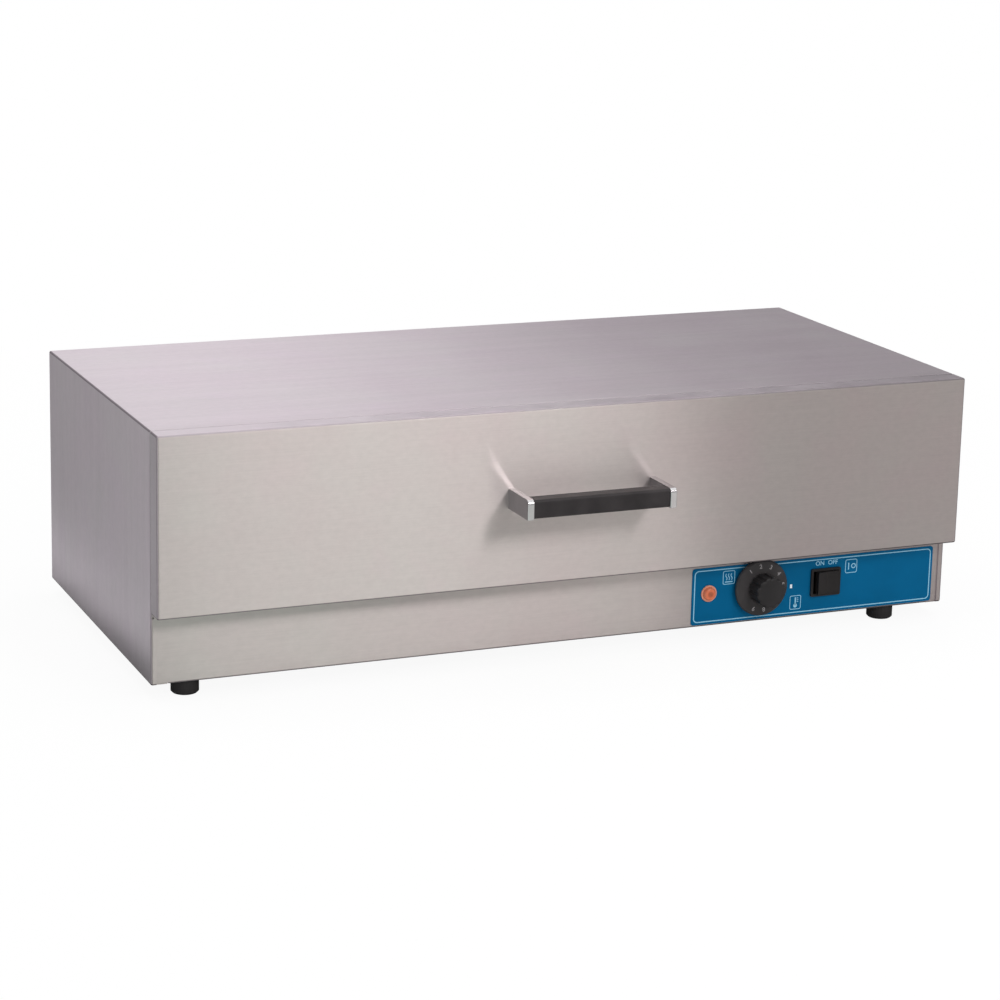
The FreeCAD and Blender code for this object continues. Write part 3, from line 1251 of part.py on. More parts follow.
def slide_screw_places():
    """Y of the screws that hold the rail to the slide's inner member."""
    y = slide_y()
    return spread(y[0] + SLIDE_SCREW_MARGIN, y[1] - SLIDE_SCREW_MARGIN, SLIDE_SCREWS)


def ball_cage(side, web_start, lip, ball_place, ball_height):
    """A cage of thin sheet and its balls, top and bottom, between two slide members."""
    middle = (SLIDE_FRONT + SLIDE_BACK) / 2
    ball_half_span = BALL_PITCH * (BALLS_PER_ROW - 1) / 2
    y = around(middle, 2 * (ball_half_span + CAGE_END))
    web = block(slide_x(side, web_start, web_start + CAGE_SHEET), y,
                around(SLIDE_Z, 2 * ball_height + CAGE_STRIP))
    strips = []
    holes = []
    balls = []
    for z in (SLIDE_Z - ball_height, SLIDE_Z + ball_height):
        strips.append(block(slide_x(side, web_start, web_start + lip), y, around(z, CAGE_STRIP)))
        x = side * (CAVITY_HALF - ball_place)
        for ball_y in spread(middle - ball_half_span, middle + ball_half_span, BALLS_PER_ROW):
            holes.append(rod("Z", (x, ball_y), BALL_DIAMETER / 2 + BALL_FIT,
                             around(z, 2 * CAGE_STRIP)))
            balls.append(Part.makeSphere(BALL_DIAMETER / 2, Vector(x, ball_y, z)))
    cage = without(joined([web] + strips), holes)
    return Part.makeCompound([cage] + balls)


def slide_bearing_outer(side):
    """Balls between the outer and the middle member."""
    height = OUTER_HALF - SLIDE_SHEET - BALL_CHANNEL / 2
    return ball_cage(side, SLIDE_SHEET + SLIDE_GAP, OUTER_CAGE_LIP, OUTER_BALL_PLACE, height)


def slide_bearing_inner(side):
    """Balls between the middle and the inner member."""
    height = MIDDLE_HALF - SLIDE_SHEET - BALL_CHANNEL / 2
    return ball_cage(side, MIDDLE_START + SLIDE_SHEET + SLIDE_GAP, INNER_CAGE_LIP,
                     INNER_BALL_PLACE, height)


# ------------------------------------------------------------ drawer

def handle_screw_x():
    """X of the screws into the two end plates."""
    half = HANDLE_WIDTH / 2 - END_PLATE / 2
    return (-half, half)


def drawer_front_skin():
    """Outer skin of the drawer front: a face with four returns, open at the back."""
    x = (-HALF_WIDTH, HALF_WIDTH)
    z = (DRAWER_BOTTOM, CASE_TOP)
    box = folded_box(x, (DRAWER_FACE, DRAWER_BACK + DRAWER_FRONT_DEPTH), z, DRAWER_SHEET)
    behind = block((x[0] - EDGE_GAP, x[1] + EDGE_GAP),
                   (DRAWER_BACK, DRAWER_BACK + 2 * DRAWER_FRONT_DEPTH),
                   (z[0] - EDGE_GAP, z[1] + EDGE_GAP))
    holes = [rod("Y", (hx, HANDLE_Z), SCREW_HOLE, (DRAWER_FACE, DRAWER_FACE + DRAWER_SHEET))
             for hx in handle_screw_x()]
    return without(box, [behind] + holes)


def tab_screw_places():
    """X and Z of the screws through the rails' front tabs."""
    x = RAIL_OUTSIDE - RAIL_TAB / 2
    heights = (RAIL_BOTTOM + TAB_SCREW_MARGIN, RAIL_TOP - TAB_SCREW_MARGIN)
    return [(side * x, z) for side in (-1, 1) for z in heights]


def drawer_inner_skin():
    """Inner skin of the drawer front, with flanges that meet the outer skin's returns."""
    half = HALF_WIDTH - DRAWER_SHEET
    z = (DRAWER_BOTTOM + DRAWER_SHEET, CASE_TOP - DRAWER_SHEET)
    front = INNER_SKIN_BACK - INNER_SKIN_FLANGE
    box = folded_box((-half, half), (front - INNER_SKIN_FLANGE, INNER_SKIN_BACK), z, DRAWER_SHEET)
    ahead = block((-HALF_WIDTH, HALF_WIDTH), (front - 2 * INNER_SKIN_FLANGE, front),
                  (CASE_BOTTOM, CASE_TOP))
    holes = [rod("Y", place, SCREW_HOLE, (INNER_SKIN_FRONT, INNER_SKIN_BACK))
             for place in tab_screw_places()]
    return without(box, [ahead] + holes)


def drawer_front_insulation():
    """Blanket between the drawer front's two skins."""
    edge = 2 * DRAWER_SHEET + BEND_RADIUS + SOFT_GAP
    y = (DRAWER_FACE + DRAWER_SHEET + SOFT_GAP, INNER_SKIN_FRONT - SOFT_GAP)
    sheet = block((edge - HALF_WIDTH, HALF_WIDTH - edge), y,
                  (DRAWER_BOTTOM + edge, CASE_TOP - edge))
    pockets = [rod("Y", (x, HANDLE_Z), SCREW_HEAD_DIAMETER / 2 + POCKET_MARGIN, y)
               for x in handle_screw_x()]
    pockets += [rod("Y", place, SCREW_RADIUS + POCKET_MARGIN, y) for place in tab_screw_places()]
    return without(sheet, pockets)


def drawer_seal():
    """Flat seal on the inner skin, round the opening."""
    y = (INNER_SKIN_BACK, PANEL_FRONT - SOFT_GAP)
    x_in = CAVITY_HALF + SEAL_MARGIN
    z_in = (WINDOW_BOTTOM - SEAL_MARGIN, WINDOW_TOP + SEAL_MARGIN)
    outside = rounded_plate((-x_in - SEAL_WIDTH, x_in + SEAL_WIDTH), y,
                            (z_in[0] - SEAL_WIDTH, z_in[1] + SEAL_WIDTH),
                            SEAL_RADIUS, Vector(0, 1, 0))
    return outside.cut(block((-x_in, x_in), y, z_in))


def handle_end(side):
    """Chrome end plate of the handle, rounded at its upper front corner."""
    x = tuple(sorted((side * HANDLE_WIDTH / 2, side * (HANDLE_WIDTH / 2 - END_PLATE))))
    front = DRAWER_FACE - HANDLE_REACH
    z = around(HANDLE_Z, HANDLE_HEIGHT)
    outline = [(DRAWER_FACE, z[0]), (front, z[0]), (front, z[1]), (DRAWER_FACE, z[1])]
    radii = [0.0, 2 * END_PLATE_EDGE_RADIUS, END_PLATE_NOSE_RADIUS, 0.0]
    face = rounded_outline(outline, radii, lambda a, b: Vector(x[0], a, b))
    plate = face.extrude(Vector(x[1] - x[0], 0, 0))
    rims = [e for e in plate.Edges
            if e.BoundBox.XLength < TOUCHING and e.BoundBox.YMin < DRAWER_FACE - TOUCHING]
    plate = plate.makeFillet(END_PLATE_EDGE_RADIUS, rims)
    screw_hole = rod("Y", (side * handle_screw_x()[1], HANDLE_Z), SCREW_RADIUS + PIN_FIT,
                     (DRAWER_FACE - HANDLE_SCREW_DEPTH, DRAWER_FACE))
    return without(plate, [screw_hole, tenon(side, TENON_FIT)])


def grip_bar_spans():
    """Y and Z spans of the grip bar."""
    front = DRAWER_FACE - HANDLE_REACH + GRIP_BAR_SETBACK
    return (front, front + GRIP_BAR_DEPTH), around(HANDLE_Z, GRIP_BAR_HEIGHT)


def tenon(side, clearance):
    """The grip bar's end tenon, or with a clearance the pocket for it."""
    y, z = grip_bar_spans()
    shoulder = HANDLE_WIDTH / 2 - END_PLATE
    x = tuple(sorted((side * (shoulder - END_PLATE), side * (shoulder + TENON_LENGTH + clearance))))
    return block(x, around((y[0] + y[1]) / 2, TENON_DEPTH + 2 * clearance),
                 around((z[0] + z[1]) / 2, TENON_HEIGHT + 2 * clearance))


def handle_grip():
    """Black bar between the end plates, tenoned into both."""
    y, z = grip_bar_spans()
    half = HANDLE_WIDTH / 2 - END_PLATE
    bar = block((-half, half), y, z)
    bar = bar.makeFillet(GRIP_BAR_RADIUS, edges_along(bar, Vector(1, 0, 0)))
    return joined([bar, tenon(-1, 0.0), tenon(1, 0.0)])


def handle_screws():
    """Screws from inside the drawer front into the end plates."""
    length = DRAWER_SHEET + HANDLE_SCREW_DEPTH - SLIDE_GAP
    return Part.makeCompound([screw(Vector(x, DRAWER_FACE + DRAWER_SHEET, HANDLE_Z),
                                    Vector(0, -1, 0), length) for x in handle_screw_x()])


def drawer_rail(side):
    """Side rail: a web with a ledge for the pan's rim, a foot and a front tab."""
    def place(a, b):
        return Vector(side * a, RAIL_FRONT, b)

    ledge_edge = RAIL_OUTSIDE - RAIL_LEDGE
    profile = [(RAIL_OUTSIDE - RAIL_FOOT, RAIL_BOTTOM), (RAIL_OUTSIDE, RAIL_BOTTOM),
               (RAIL_OUTSIDE, RAIL_TOP), (ledge_edge, RAIL_TOP)]
    bar = folded_strip(profile, RAIL_SHEET, place).extrude(Vector(0, RAIL_LENGTH, 0))
    tab_x = tuple(sorted((side * RAIL_OUTSIDE, side * (RAIL_OUTSIDE - RAIL_TAB))))
    tab = block(tab_x, (INNER_SKIN_BACK, RAIL_FRONT),
                (RAIL_BOTTOM + RAIL_TAB_MARGIN, RAIL_TOP - RAIL_TAB_MARGIN))
    cutters = [rod("Y", (x, z), SCREW_HOLE, (INNER_SKIN_BACK, RAIL_FRONT))
               for x, z in tab_screw_places() if x * side > 0]
    web_x = tuple(sorted((side * RAIL_OUTSIDE, side * RAIL_INSIDE)))
    cutters += [rod("X", (y, SLIDE_Z), SCREW_HOLE, web_x) for y in slide_screw_places()]
    return without(joined([bar, tab]), cutters)


def drawer_rear_rail():
    """Cross member behind the pan, with a ledge for its rim."""
    ledge_half = RAIL_OUTSIDE - RAIL_LEDGE - EDGE_GAP
    web = block((-RAIL_OUTSIDE, RAIL_OUTSIDE), (RAIL_BACK, RAIL_BACK + RAIL_SHEET),
                (RAIL_TOP - REAR_RAIL_HEIGHT, RAIL_TOP))
    ledge = block((-ledge_half, ledge_half), (RAIL_BACK - PAN_RIM, RAIL_BACK),
                  (RAIL_TOP - RAIL_SHEET, RAIL_TOP))
    return joined([web, ledge])


def food_pan():
    """Deep pan whose rim rests on the rails' ledges."""
    wall_half = RAIL_OUTSIDE - RAIL_LEDGE - PAN_SIDE_GAP
    rim_y = (CASE_FRONT + PAN_FRONT_GAP, RAIL_BACK - PAN_SIDE_GAP)
    wall_y = (rim_y[0] + PAN_RIM, rim_y[1] - PAN_RIM - PAN_SIDE_GAP)
    rim_top = RAIL_TOP + PAN_SHEET
    outside = pan_form(wall_half, wall_y, (PAN_BOTTOM, rim_top), 0.0)
    inside = pan_form(wall_half, wall_y, (PAN_BOTTOM, rim_top), PAN_SHEET)
    rim = rounded_plate((-wall_half - PAN_RIM, wall_half + PAN_RIM), rim_y, (RAIL_TOP, rim_top),
                        PAN_RIM_RADIUS, Vector(0, 0, 1))
    return joined([outside, rim]).cut(inside)


def pan_form(half, y, z, inset):
    """The pan's outside, or its inside when inset by the sheet."""
    solid = rounded_plate((inset - half, half - inset), (y[0] + inset, y[1] - inset),
                          (z[0] + inset, z[1]), PAN_CORNER_RADIUS - inset, Vector(0, 0, 1))
    floor_edges = [e for e in solid.Edges if e.BoundBox.ZMax < z[0] + inset + TOUCHING]
    return solid.makeFillet(PAN_FLOOR_RADIUS - inset, floor_edges)


def drawer_screws():
    """Screws through the rails' tabs into the front, and through the rails into the slides."""
    solids = [screw(Vector(x, RAIL_FRONT, z), Vector(0, -1, 0),
                    RAIL_SHEET + DRAWER_SHEET + DRAWER_SCREW_GRIP) for x, z in tab_screw_places()]
    for side in (-1, 1):
        for y in slide_screw_places():
            solids.append(screw(Vector(side * RAIL_INSIDE, y, SLIDE_Z), Vector(side, 0, 0),
                                RAIL_SHEET + SLIDE_SHEET + DRAWER_SCREW_GRIP))
    return Part.makeCompound(solids)


# ------------------------------------------------------------ the whole drawer unit

def sub_parts():
    """Every node by name."""
    nodes = {
        "outer_wrap": outer_wrap(),
        "rear_panel": rear_panel(),
        "front_fascia": front_fascia(),
        "label_overlay": label_overlay(),
        "bottom_tray": bottom_tray(),
        "front_frame": front_frame(),
        "cavity_liner": cavity_liner(),
        "insulation_over": insulation_over(),
        "insulation_rear": insulation_rear(),
        "insulation_floor": insulation_floor(),
        "heating_element": heating_element(),
        "element_terminals": element_terminals(),
        "element_supports": element_supports(),
        "heat_baffle": heat_baffle(),
        "high_limit_cutout": high_limit_cutout(),
        "thermostat_body": thermostat_body(),
        "thermostat_screws": thermostat_screws(),
        "thermostat_capillary": thermostat_capillary(),
        "bulb_clips": bulb_clips(),
        "thermostat_shaft": thermostat_shaft(),
        "dial_knob": dial_knob(),
        "pilot_light_lens": pilot_light_lens(),
        "pilot_light_body": pilot_light_body(),
        "switch_housing": switch_housing(),
        "switch_rocker": switch_rocker(),
        "terminal_block": terminal_block(),
        "ground_stud": ground_stud(),
        "cord_gland": cord_gland(),
        "gland_locknut": gland_locknut(),
        "internal_wiring": internal_wiring(),
        "foot_screws": foot_screws(),
        "case_screws": case_screws(),
        "drawer_front_skin": drawer_front_skin(),
        "drawer_inner_skin": drawer_inner_skin(),
        "drawer_front_insulation": drawer_front_insulation(),
        "drawer_seal": drawer_seal(),
        "handle_grip": handle_grip(),
        "handle_screws": handle_screws(),
        "drawer_rear_rail": drawer_rear_rail(),
        "food_pan": food_pan(),
        "drawer_screws": drawer_screws(),
    }
    for name, x, y in foot_places():
        nodes[name] = foot(x, y)
    for side, word in ((-1, "left"), (1, "right")):
        nodes["slide_outer_" + word] = slide_outer(side)
        nodes["slide_middle_" + word] = slide_middle(side)
        nodes["slide_inner_" + word] = slide_inner(side)
        nodes["slide_bearing_outer_" + word] = slide_bearing_outer(side)
        nodes["slide_bearing_inner_" + word] = slide_bearing_inner(side)
        nodes["drawer_rail_" + word] = drawer_rail(side)
        nodes["handle_end_" + word] = handle_end(side)
    return nodes


def main():
    os.makedirs("parts", exist_ok=True)
    for name, shape in sub_parts().items():
        shape.exportStep("parts/" + name + ".step")


if __name__ == "__main__":
    main()
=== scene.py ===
import json
import math

import bmesh
import bpy
from mathutils import Matrix, Vector


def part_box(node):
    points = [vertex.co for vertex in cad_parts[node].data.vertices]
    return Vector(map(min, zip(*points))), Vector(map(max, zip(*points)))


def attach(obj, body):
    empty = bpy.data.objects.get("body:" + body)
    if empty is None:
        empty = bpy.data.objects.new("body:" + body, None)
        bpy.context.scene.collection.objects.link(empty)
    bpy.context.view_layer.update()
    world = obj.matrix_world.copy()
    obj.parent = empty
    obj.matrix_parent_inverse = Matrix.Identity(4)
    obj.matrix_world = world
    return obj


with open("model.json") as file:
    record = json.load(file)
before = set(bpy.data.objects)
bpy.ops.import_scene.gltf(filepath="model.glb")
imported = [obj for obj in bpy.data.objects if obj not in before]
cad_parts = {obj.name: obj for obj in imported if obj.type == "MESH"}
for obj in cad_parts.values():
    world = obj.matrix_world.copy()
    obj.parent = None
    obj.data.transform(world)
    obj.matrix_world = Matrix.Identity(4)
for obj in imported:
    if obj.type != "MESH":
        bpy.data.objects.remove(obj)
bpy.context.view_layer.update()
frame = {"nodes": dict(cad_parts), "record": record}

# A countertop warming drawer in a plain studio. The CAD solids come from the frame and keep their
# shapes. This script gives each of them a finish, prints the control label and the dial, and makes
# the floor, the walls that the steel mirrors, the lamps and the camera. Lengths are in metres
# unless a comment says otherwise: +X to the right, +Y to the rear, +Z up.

NODES = frame["nodes"]
SLOTS = {part["node"]: part["material_slot"] for part in frame["record"]["subparts"]}

X, Y, Z = 0, 1, 2
MM = 0.001
WHITE = (1.0, 1.0, 1.0)
MATERIALS = {}

LABEL_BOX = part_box("label_overlay")
LENS_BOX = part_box("pilot_light_lens")
DIAL_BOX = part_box("dial_knob")
CASE_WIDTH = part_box("outer_wrap")[1][X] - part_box("outer_wrap")[0][X]
DIAL_SKIRT_THICKNESS = 0.0035
DIAL_SKIRT_FRONT = DIAL_BOX[1][Y] - DIAL_SKIRT_THICKNESS


def middle(box, axis):
    """The middle of a box along one axis."""
    return (box[0][axis] + box[1][axis]) / 2


def shade(colour, by):
    """The colour made lighter or darker, and never brighter than white."""
    return tuple(min(1.0, part * by) for part in colour)


# ------------------------------------------------------------ node trees

class Nodes:
    """A short way to write a node tree.

    Most methods add nodes and return an output of the last one. A value that is given to a method
    may be a number, a colour or the output of another node.
    """

    def __init__(self, tree):
        self.tree = tree
        tree.nodes.clear()

    def feed(self, socket, value):
        """Link the value to the socket if it is an output, and else set it there."""
        if isinstance(value, bpy.types.NodeSocket):
            self.tree.links.new(value, socket)
        elif socket.type == "RGBA":
            socket.default_value = (*value, 1.0)
        else:
            socket.default_value = value

    def node(self, kind, inputs=None, **settings):
        """A whole node of that kind, with its inputs by name or number."""
        made = self.tree.nodes.new("ShaderNode" + kind)
        for key, value in settings.items():
            setattr(made, key, value)
        for key, value in (inputs or {}).items():
            self.feed(made.inputs[key], value)
        return made

    def calculate(self, operation, a, b=0.0, clamp=False):
        return self.node("Math", {0: a, 1: b}, operation=operation, use_clamp=clamp).outputs[0]

    def plus(self, a, b):
        return self.calculate("ADD", a, b)

    def times(self, a, b):
        return self.calculate("MULTIPLY", a, b)

    def opposite(self, share):
        """1 where share is 0, and 0 where it is 1."""
        return self.calculate("SUBTRACT", 1.0, share)

    def length(self, a, b):
        """The length of a line that runs a and b along two axes."""
        return self.calculate("SQRT", self.plus(self.times(a, a), self.times(b, b)))

    def span(self, value, low, high):
        """0 up to low, 1 from high, and in proportion between them."""
        above = self.calculate("SUBTRACT", value, low)
        return self.calculate("MULTIPLY", above, 1 / (high - low), clamp=True)

    def uneven(self, mean, *variations):
        """A value that varies about its mean, by (noise, how far it varies) pairs."""
        value = mean - sum(amount for _, amount in variations) / 2
        for noise, amount in variations:
            value = self.plus(self.times(noise, amount), value)
        return value

    def ramp(self, factor, *stops):
        """The tone that factor picks between (position, tone) stops, at positions from 0 to 1."""
        node = self.node("ValToRGB", {0: factor})
        elements = node.color_ramp.elements
        while len(elements) < len(stops):
            elements.new(0.5)
        for element, (position, tone) in zip(elements, stops):
            element.position = position
            element.color = (*tone, 1.0) if isinstance(tone, tuple) else (tone, tone, tone, 1.0)
        return node.outputs[0]

    def blend(self, kind, share, a, b):
        """Colour a, with that share of b laid over it in the way that kind names."""
        inputs = {0: share, 6: a, 7: b}
        return self.node("Mix", inputs, data_type="RGBA", blend_type=kind).outputs[2]

    def mix(self, share, a, b):
        """Colour a where share is 0, and b where it is 1."""
        return self.blend("MIX", share, a, b)

    def multiplied(self, a, b, share=1.0):
        """Colour a, multiplied by b as far as share says."""
        return self.blend("MULTIPLY", share, a, b)

    def position(self):
        """X, Y and Z of the point in its object."""
        return self.node("SeparateXYZ", {0: self.node("TexCoord").outputs["Object"]}).outputs

    def facing(self):
        """How far the face looks along X, along Y and along Z, either way, and how far down."""
        parts = self.node("SeparateXYZ", {0: self.node("NewGeometry").outputs["Normal"]}).outputs
        down = self.calculate("MULTIPLY", parts[Z], -1.0, clamp=True)
        return [self.calculate("ABSOLUTE", part) for part in parts] + [down]

    def scaled_place(self, scale):
        """The point in its object times scale, which is one number or one for each axis."""
        scale = scale if isinstance(scale, tuple) else (scale, scale, scale)
        place = self.node("TexCoord").outputs["Object"]
        return self.node("Mapping", {"Vector": place, "Scale": scale}).outputs[0]

    def noise(self, scale, detail, roughness):
        """Cloudy noise. Its spots are about 1 / scale metres across."""
        return self.node("TexNoise", {"Vector": self.scaled_place(scale), "Scale": 1.0,
                                      "Detail": detail, "Roughness": roughness}).outputs[0]

    def bump(self, height, strength, distance, on=None):
        """The normal of a surface with that height, laid on another bump's normal or on none."""
        inputs = {"Height": height, "Strength": strength, "Distance": distance}
        if on is not None:
            inputs["Normal"] = on
        return self.node("Bump", inputs).outputs[0]

    def rays(self):
        """1 for rays from the camera, and 1 for rays from it, from a mirror or through glass."""
        path = self.node("LightPath").outputs
        camera = path["Is Camera Ray"]
        indirect = self.plus(path["Is Glossy Ray"], path["Is Transmission Ray"])
        return camera, self.calculate("ADD", camera, indirect, clamp=True)

    def surface(self, **sockets):
        """End the material in a principled shader with these sockets."""
        inputs = {name.replace("_", " "): value for name, value in sockets.items()}
        shader = self.node("BsdfPrincipled", inputs)
        self.node("OutputMaterial", {"Surface": shader.outputs[0]})


def material(name):
    """The nodes of a new material, which is kept in MATERIALS."""
    made = bpy.data.materials.new(name)
    made.use_nodes = True
    MATERIALS[name] = made
    return Nodes(made.node_tree)


# ------------------------------------------------------------ finishes

# The steel's tint, the one it drifts to, and the one of its patches. Cool on level and side faces
# and warm on front faces, as a painted reflection of the room's tones
COOL_TINTS = ((1.0, 0.893, 0.965), (0.985, 0.905, 0.955), (1.0, 0.885, 0.975))
WARM_TINTS = ((1.0, 0.895, 0.870), (0.980, 0.915, 0.875), (1.0, 0.880, 0.870))


def steel_tint_and_painted_reflection(n, cloud, front):
    """Slightly cool on the top, the sides and the bends, and slightly warm on front faces, as a
    painted reflection, with random drift and patches over it.
    """
    patches = n.times(n.ramp(n.noise(23, 2.0, 0.5), (0.55, 0.0), (0.72, 1.0)), 0.5)
    cool, warm = (n.mix(patches, n.ramp(cloud, (0.36, plain), (0.64, drifted)), patch)
                  for plain, drifted, patch in (COOL_TINTS, WARM_TINTS))
    # Painted reflection: the warm tint on faces that look to the front
    return n.mix(n.ramp(front, (0.80, 0.0), (0.95, 1.0)), cool, warm)


def painted_bend_shade(n, tone, bend, front, level, down):
    """The tone, with painted shade on bends that turn to a level face, for the dark they mirror.

    The painted shade is deeper from the left to the right, on bends at the sides, and on those
    that look down.
    """
    level_bend = n.times(bend, n.ramp(level, (0.10, 0.0), (0.30, 1.0)))
    low_bend = n.times(bend, n.ramp(down, (0.05, 0.0), (0.25, 1.0)))
    side_bend = n.times(level_bend, n.ramp(front, (0.10, 1.0), (0.30, 0.0)))
    from_left = n.plus(n.times(n.position()[X], 1 / CASE_WIDTH), 0.5)
    # Painted shade, deeper from the left to the right, where the room that the steel mirrors is
    # darker
    painted_shade_to_right = n.ramp(from_left, (0.0, 0.93), (0.5, 0.80), (0.8, 0.66), (1.0, 0.60))
    tone = n.multiplied(tone, painted_shade_to_right, level_bend)
    tone = n.multiplied(tone, (0.59, 0.575, 0.59), side_bend)
    return n.multiplied(tone, (0.50, 0.49, 0.49), low_bend)


def brushed(name, colour, marks, spread_up, roughness=0.32, painted_side_shade=1.0, bands=None):
    """Brushed sheet steel.

    marks is the scale of the brush marks in X, Y and Z: 12 along the marks and 900 across them.
    The steel spreads reflections across its marks. With spread_up that is along Z, or along Y on
    level faces. Without it, it is along Y, or along Z on front faces. flank is painted shade: the
    tone of faces that look to the sides. bands is the scale of broad, faint bands along the marks.
    """
    n = material(name)
    side, front, level, down = n.facing()
    coarse = n.noise(marks, 3.0, 0.62)
    fine = n.noise(tuple(2.7 * scale for scale in marks), 2.0, 0.6)
    scratches = n.noise(tuple(130 if scale < 100 else 220 for scale in marks), 2.0, 0.6)
    cloud = n.noise(9, 3.0, 0.55)

    streaks = n.plus(n.times(coarse, 0.6), n.times(fine, 0.4))
    tone = n.ramp(streaks, (0.34, shade(colour, 0.975)), (0.66, shade(colour, 1.025)))
    tone = n.multiplied(tone, steel_tint_and_painted_reflection(n, cloud, front))
    tone = n.multiplied(tone, n.ramp(scratches, (0.34, 0.96), (0.66, 1.0)))
    if bands:
        tone = n.multiplied(tone, n.ramp(n.noise(bands, 2.0, 0.5), (0.32, 0.955), (0.68, 1.0)))
    # Painted shade on faces that look to the sides
    if painted_side_shade != 1.0:
        tone = n.multiplied(tone, (painted_side_shade, painted_side_shade, painted_side_shade), n.ramp(side, (0.80, 0.0), (0.95, 1.0)))
    # Painted shade along the bends, for the dark that they mirror
    flattest = n.calculate("MAXIMUM", side, n.calculate("MAXIMUM", front, level))
    bend = n.ramp(flattest, (0.92, 1.0), (0.99, 0.0))
    tone = painted_bend_shade(n, tone, bend, front, level, down)

    rough = n.uneven(roughness, (fine, 0.12), (cloud, 0.05))
    rough = n.plus(rough, n.times(bend, 0.35))

    spread_y = level if spread_up else n.opposite(front)
    spread_z = n.opposite(level) if spread_up else front
    tangent = n.node("CombineXYZ", {"Y": spread_y, "Z": spread_z}).outputs[0]
    normal = n.bump(cloud, 0.08, 0.003, on=n.bump(coarse, 0.04, 0.00005))
    n.surface(Base_Color=tone, Metallic=0.85, Roughness=rough, Anisotropic=1.0, Tangent=tangent,
              Normal=normal)


def sheet_metal(name, colour, roughness, marks=60, stains=0.0, spangle=0.0, relief=0.0001):
    """Plain, drawn or galvanised metal.

    marks is the scale of its marks, and relief their depth. stains is the strength of its straw
    coloured stains, and spangle that of the flakes in its zinc.
    """
    n = material(name)
    cloud = n.noise(14, 4.0, 0.6)
    streaks = n.noise(marks, 3.0, 0.6)
    tone = n.ramp(streaks, (0.32, shade(colour, 0.86)), (0.68, shade(colour, 1.07)))
    rough = n.uneven(roughness, (cloud, 0.16))
    if stains:
        red, green, blue = colour
        stained = n.times(n.ramp(cloud, (0.45, 0.0), (0.75, 1.0)), stains)
        tone = n.mix(stained, tone, (red, green * 0.80, blue * 0.55))
    if spangle:
        place = n.scaled_place(150)
        flakes = n.node("TexVoronoi", {"Vector": place, "Scale": 1.0}).outputs["Color"]
        coloured = n.blend("OVERLAY", spangle, tone, flakes)
        tone = n.node("HueSaturation", {"Saturation": 0.0, "Color": coloured}).outputs[0]
        rough = n.plus(rough, n.times(n.times(flakes, spangle), 0.4))
    n.surface(Base_Color=tone, Metallic=1.0, Roughness=rough,
              Normal=n.bump(streaks, 0.10, relief))


def plated(name, colour, roughness, painted_side_shade=1.0):
    """Bright plating with fine polishing marks and a few smears.

    flank is painted shade: the tone of side faces, where it isn't 1. They are then ground satin,
    and level faces get painted shade too.
    """
    n = material(name)
    polish = n.noise((40, 900, 900), 2.0, 0.6)
    smears = n.noise(60, 3.0, 0.6)
    tone = n.ramp(smears, (0.35, colour), (0.75, shade(colour, 0.90)))
    rough = n.plus(n.times(n.ramp(smears, (0.4, 0.0), (0.75, 1.0)), 0.10), roughness)
    if painted_side_shade != 1.0:
        side, _, level, _ = n.facing()
        side = n.ramp(side, (0.85, 0.0), (0.97, 1.0))
        level = n.ramp(level, (0.85, 0.0), (0.97, 1.0))
        # Painted shade on side faces and on level faces
        tone = n.multiplied(tone, (painted_side_shade, painted_side_shade * 0.94, painted_side_shade), side)
        tone = n.multiplied(tone, (0.70, 0.69, 0.70), level)
        rough = n.plus(rough, n.times(side, 0.22))
    n.surface(Base_Color=tone, Metallic=1.0, Roughness=rough, Normal=n.bump(polish, 0.05, 0.0001))


def moulded(name, colour, roughness, grain=1600, depth=0.00006, mottle=0.25, coat=0.0, shine=0.5,
            darker_front_y=None):
    """Moulded plastic, rubber or ceramic with a fine grain of that scale and depth.

    mottle is how far its colour varies, coat the weight of a glaze, and shine the strength of its
    reflection. In front of the plane y = darker_front_y it is darker and duller.
    """
    n = material(name)
    cloud = n.noise(45, 3.0, 0.55)
    specks = n.noise(grain, 2.0, 0.6)
    tone = n.ramp(cloud, (0.3, shade(colour, 1 - mottle)), (0.7, shade(colour, 1 + mottle)))
    rough = n.uneven(roughness, (cloud, 0.14))
    if darker_front_y is not None:
        # Darker and duller in front of that plane
        in_front_mask = n.calculate("LESS_THAN", n.position()[Y], darker_front_y)
        tone = n.multiplied(tone, (0.42, 0.42, 0.43), in_front_mask)
        rough = n.plus(rough, n.times(in_front_mask, 0.12))
    n.surface(Base_Color=tone, Roughness=rough, Coat_Weight=coat, Specular_IOR_Level=shine,
              Normal=n.bump(specks, 0.35, depth))


def printed_film(name, colour):
    """Printed plastic film: an even colour with a faint orange-peel surface."""
    n = material(name)
    cloud = n.noise(30, 2.0, 0.5)
    peel = n.noise(700, 1.0, 0.5)
    tone = n.ramp(cloud, (0.3, shade(colour, 0.93)), (0.7, shade(colour, 1.06)))
    n.surface(Base_Color=tone, Roughness=n.uneven(0.49, (peel, 0.10)), Specular_IOR_Level=0.05,
              Normal=n.bump(peel, 0.10, 0.00004))


def ink(name, colour):
    """Screen-printed ink, slightly uneven."""
    n = material(name)
    grain = n.noise(900, 2.0, 0.6)
    tone = n.ramp(grain, (0.3, shade(colour, 0.90)), (0.7, colour))
    n.surface(Base_Color=tone, Roughness=0.45, Normal=n.bump(grain, 0.1, 0.00003))


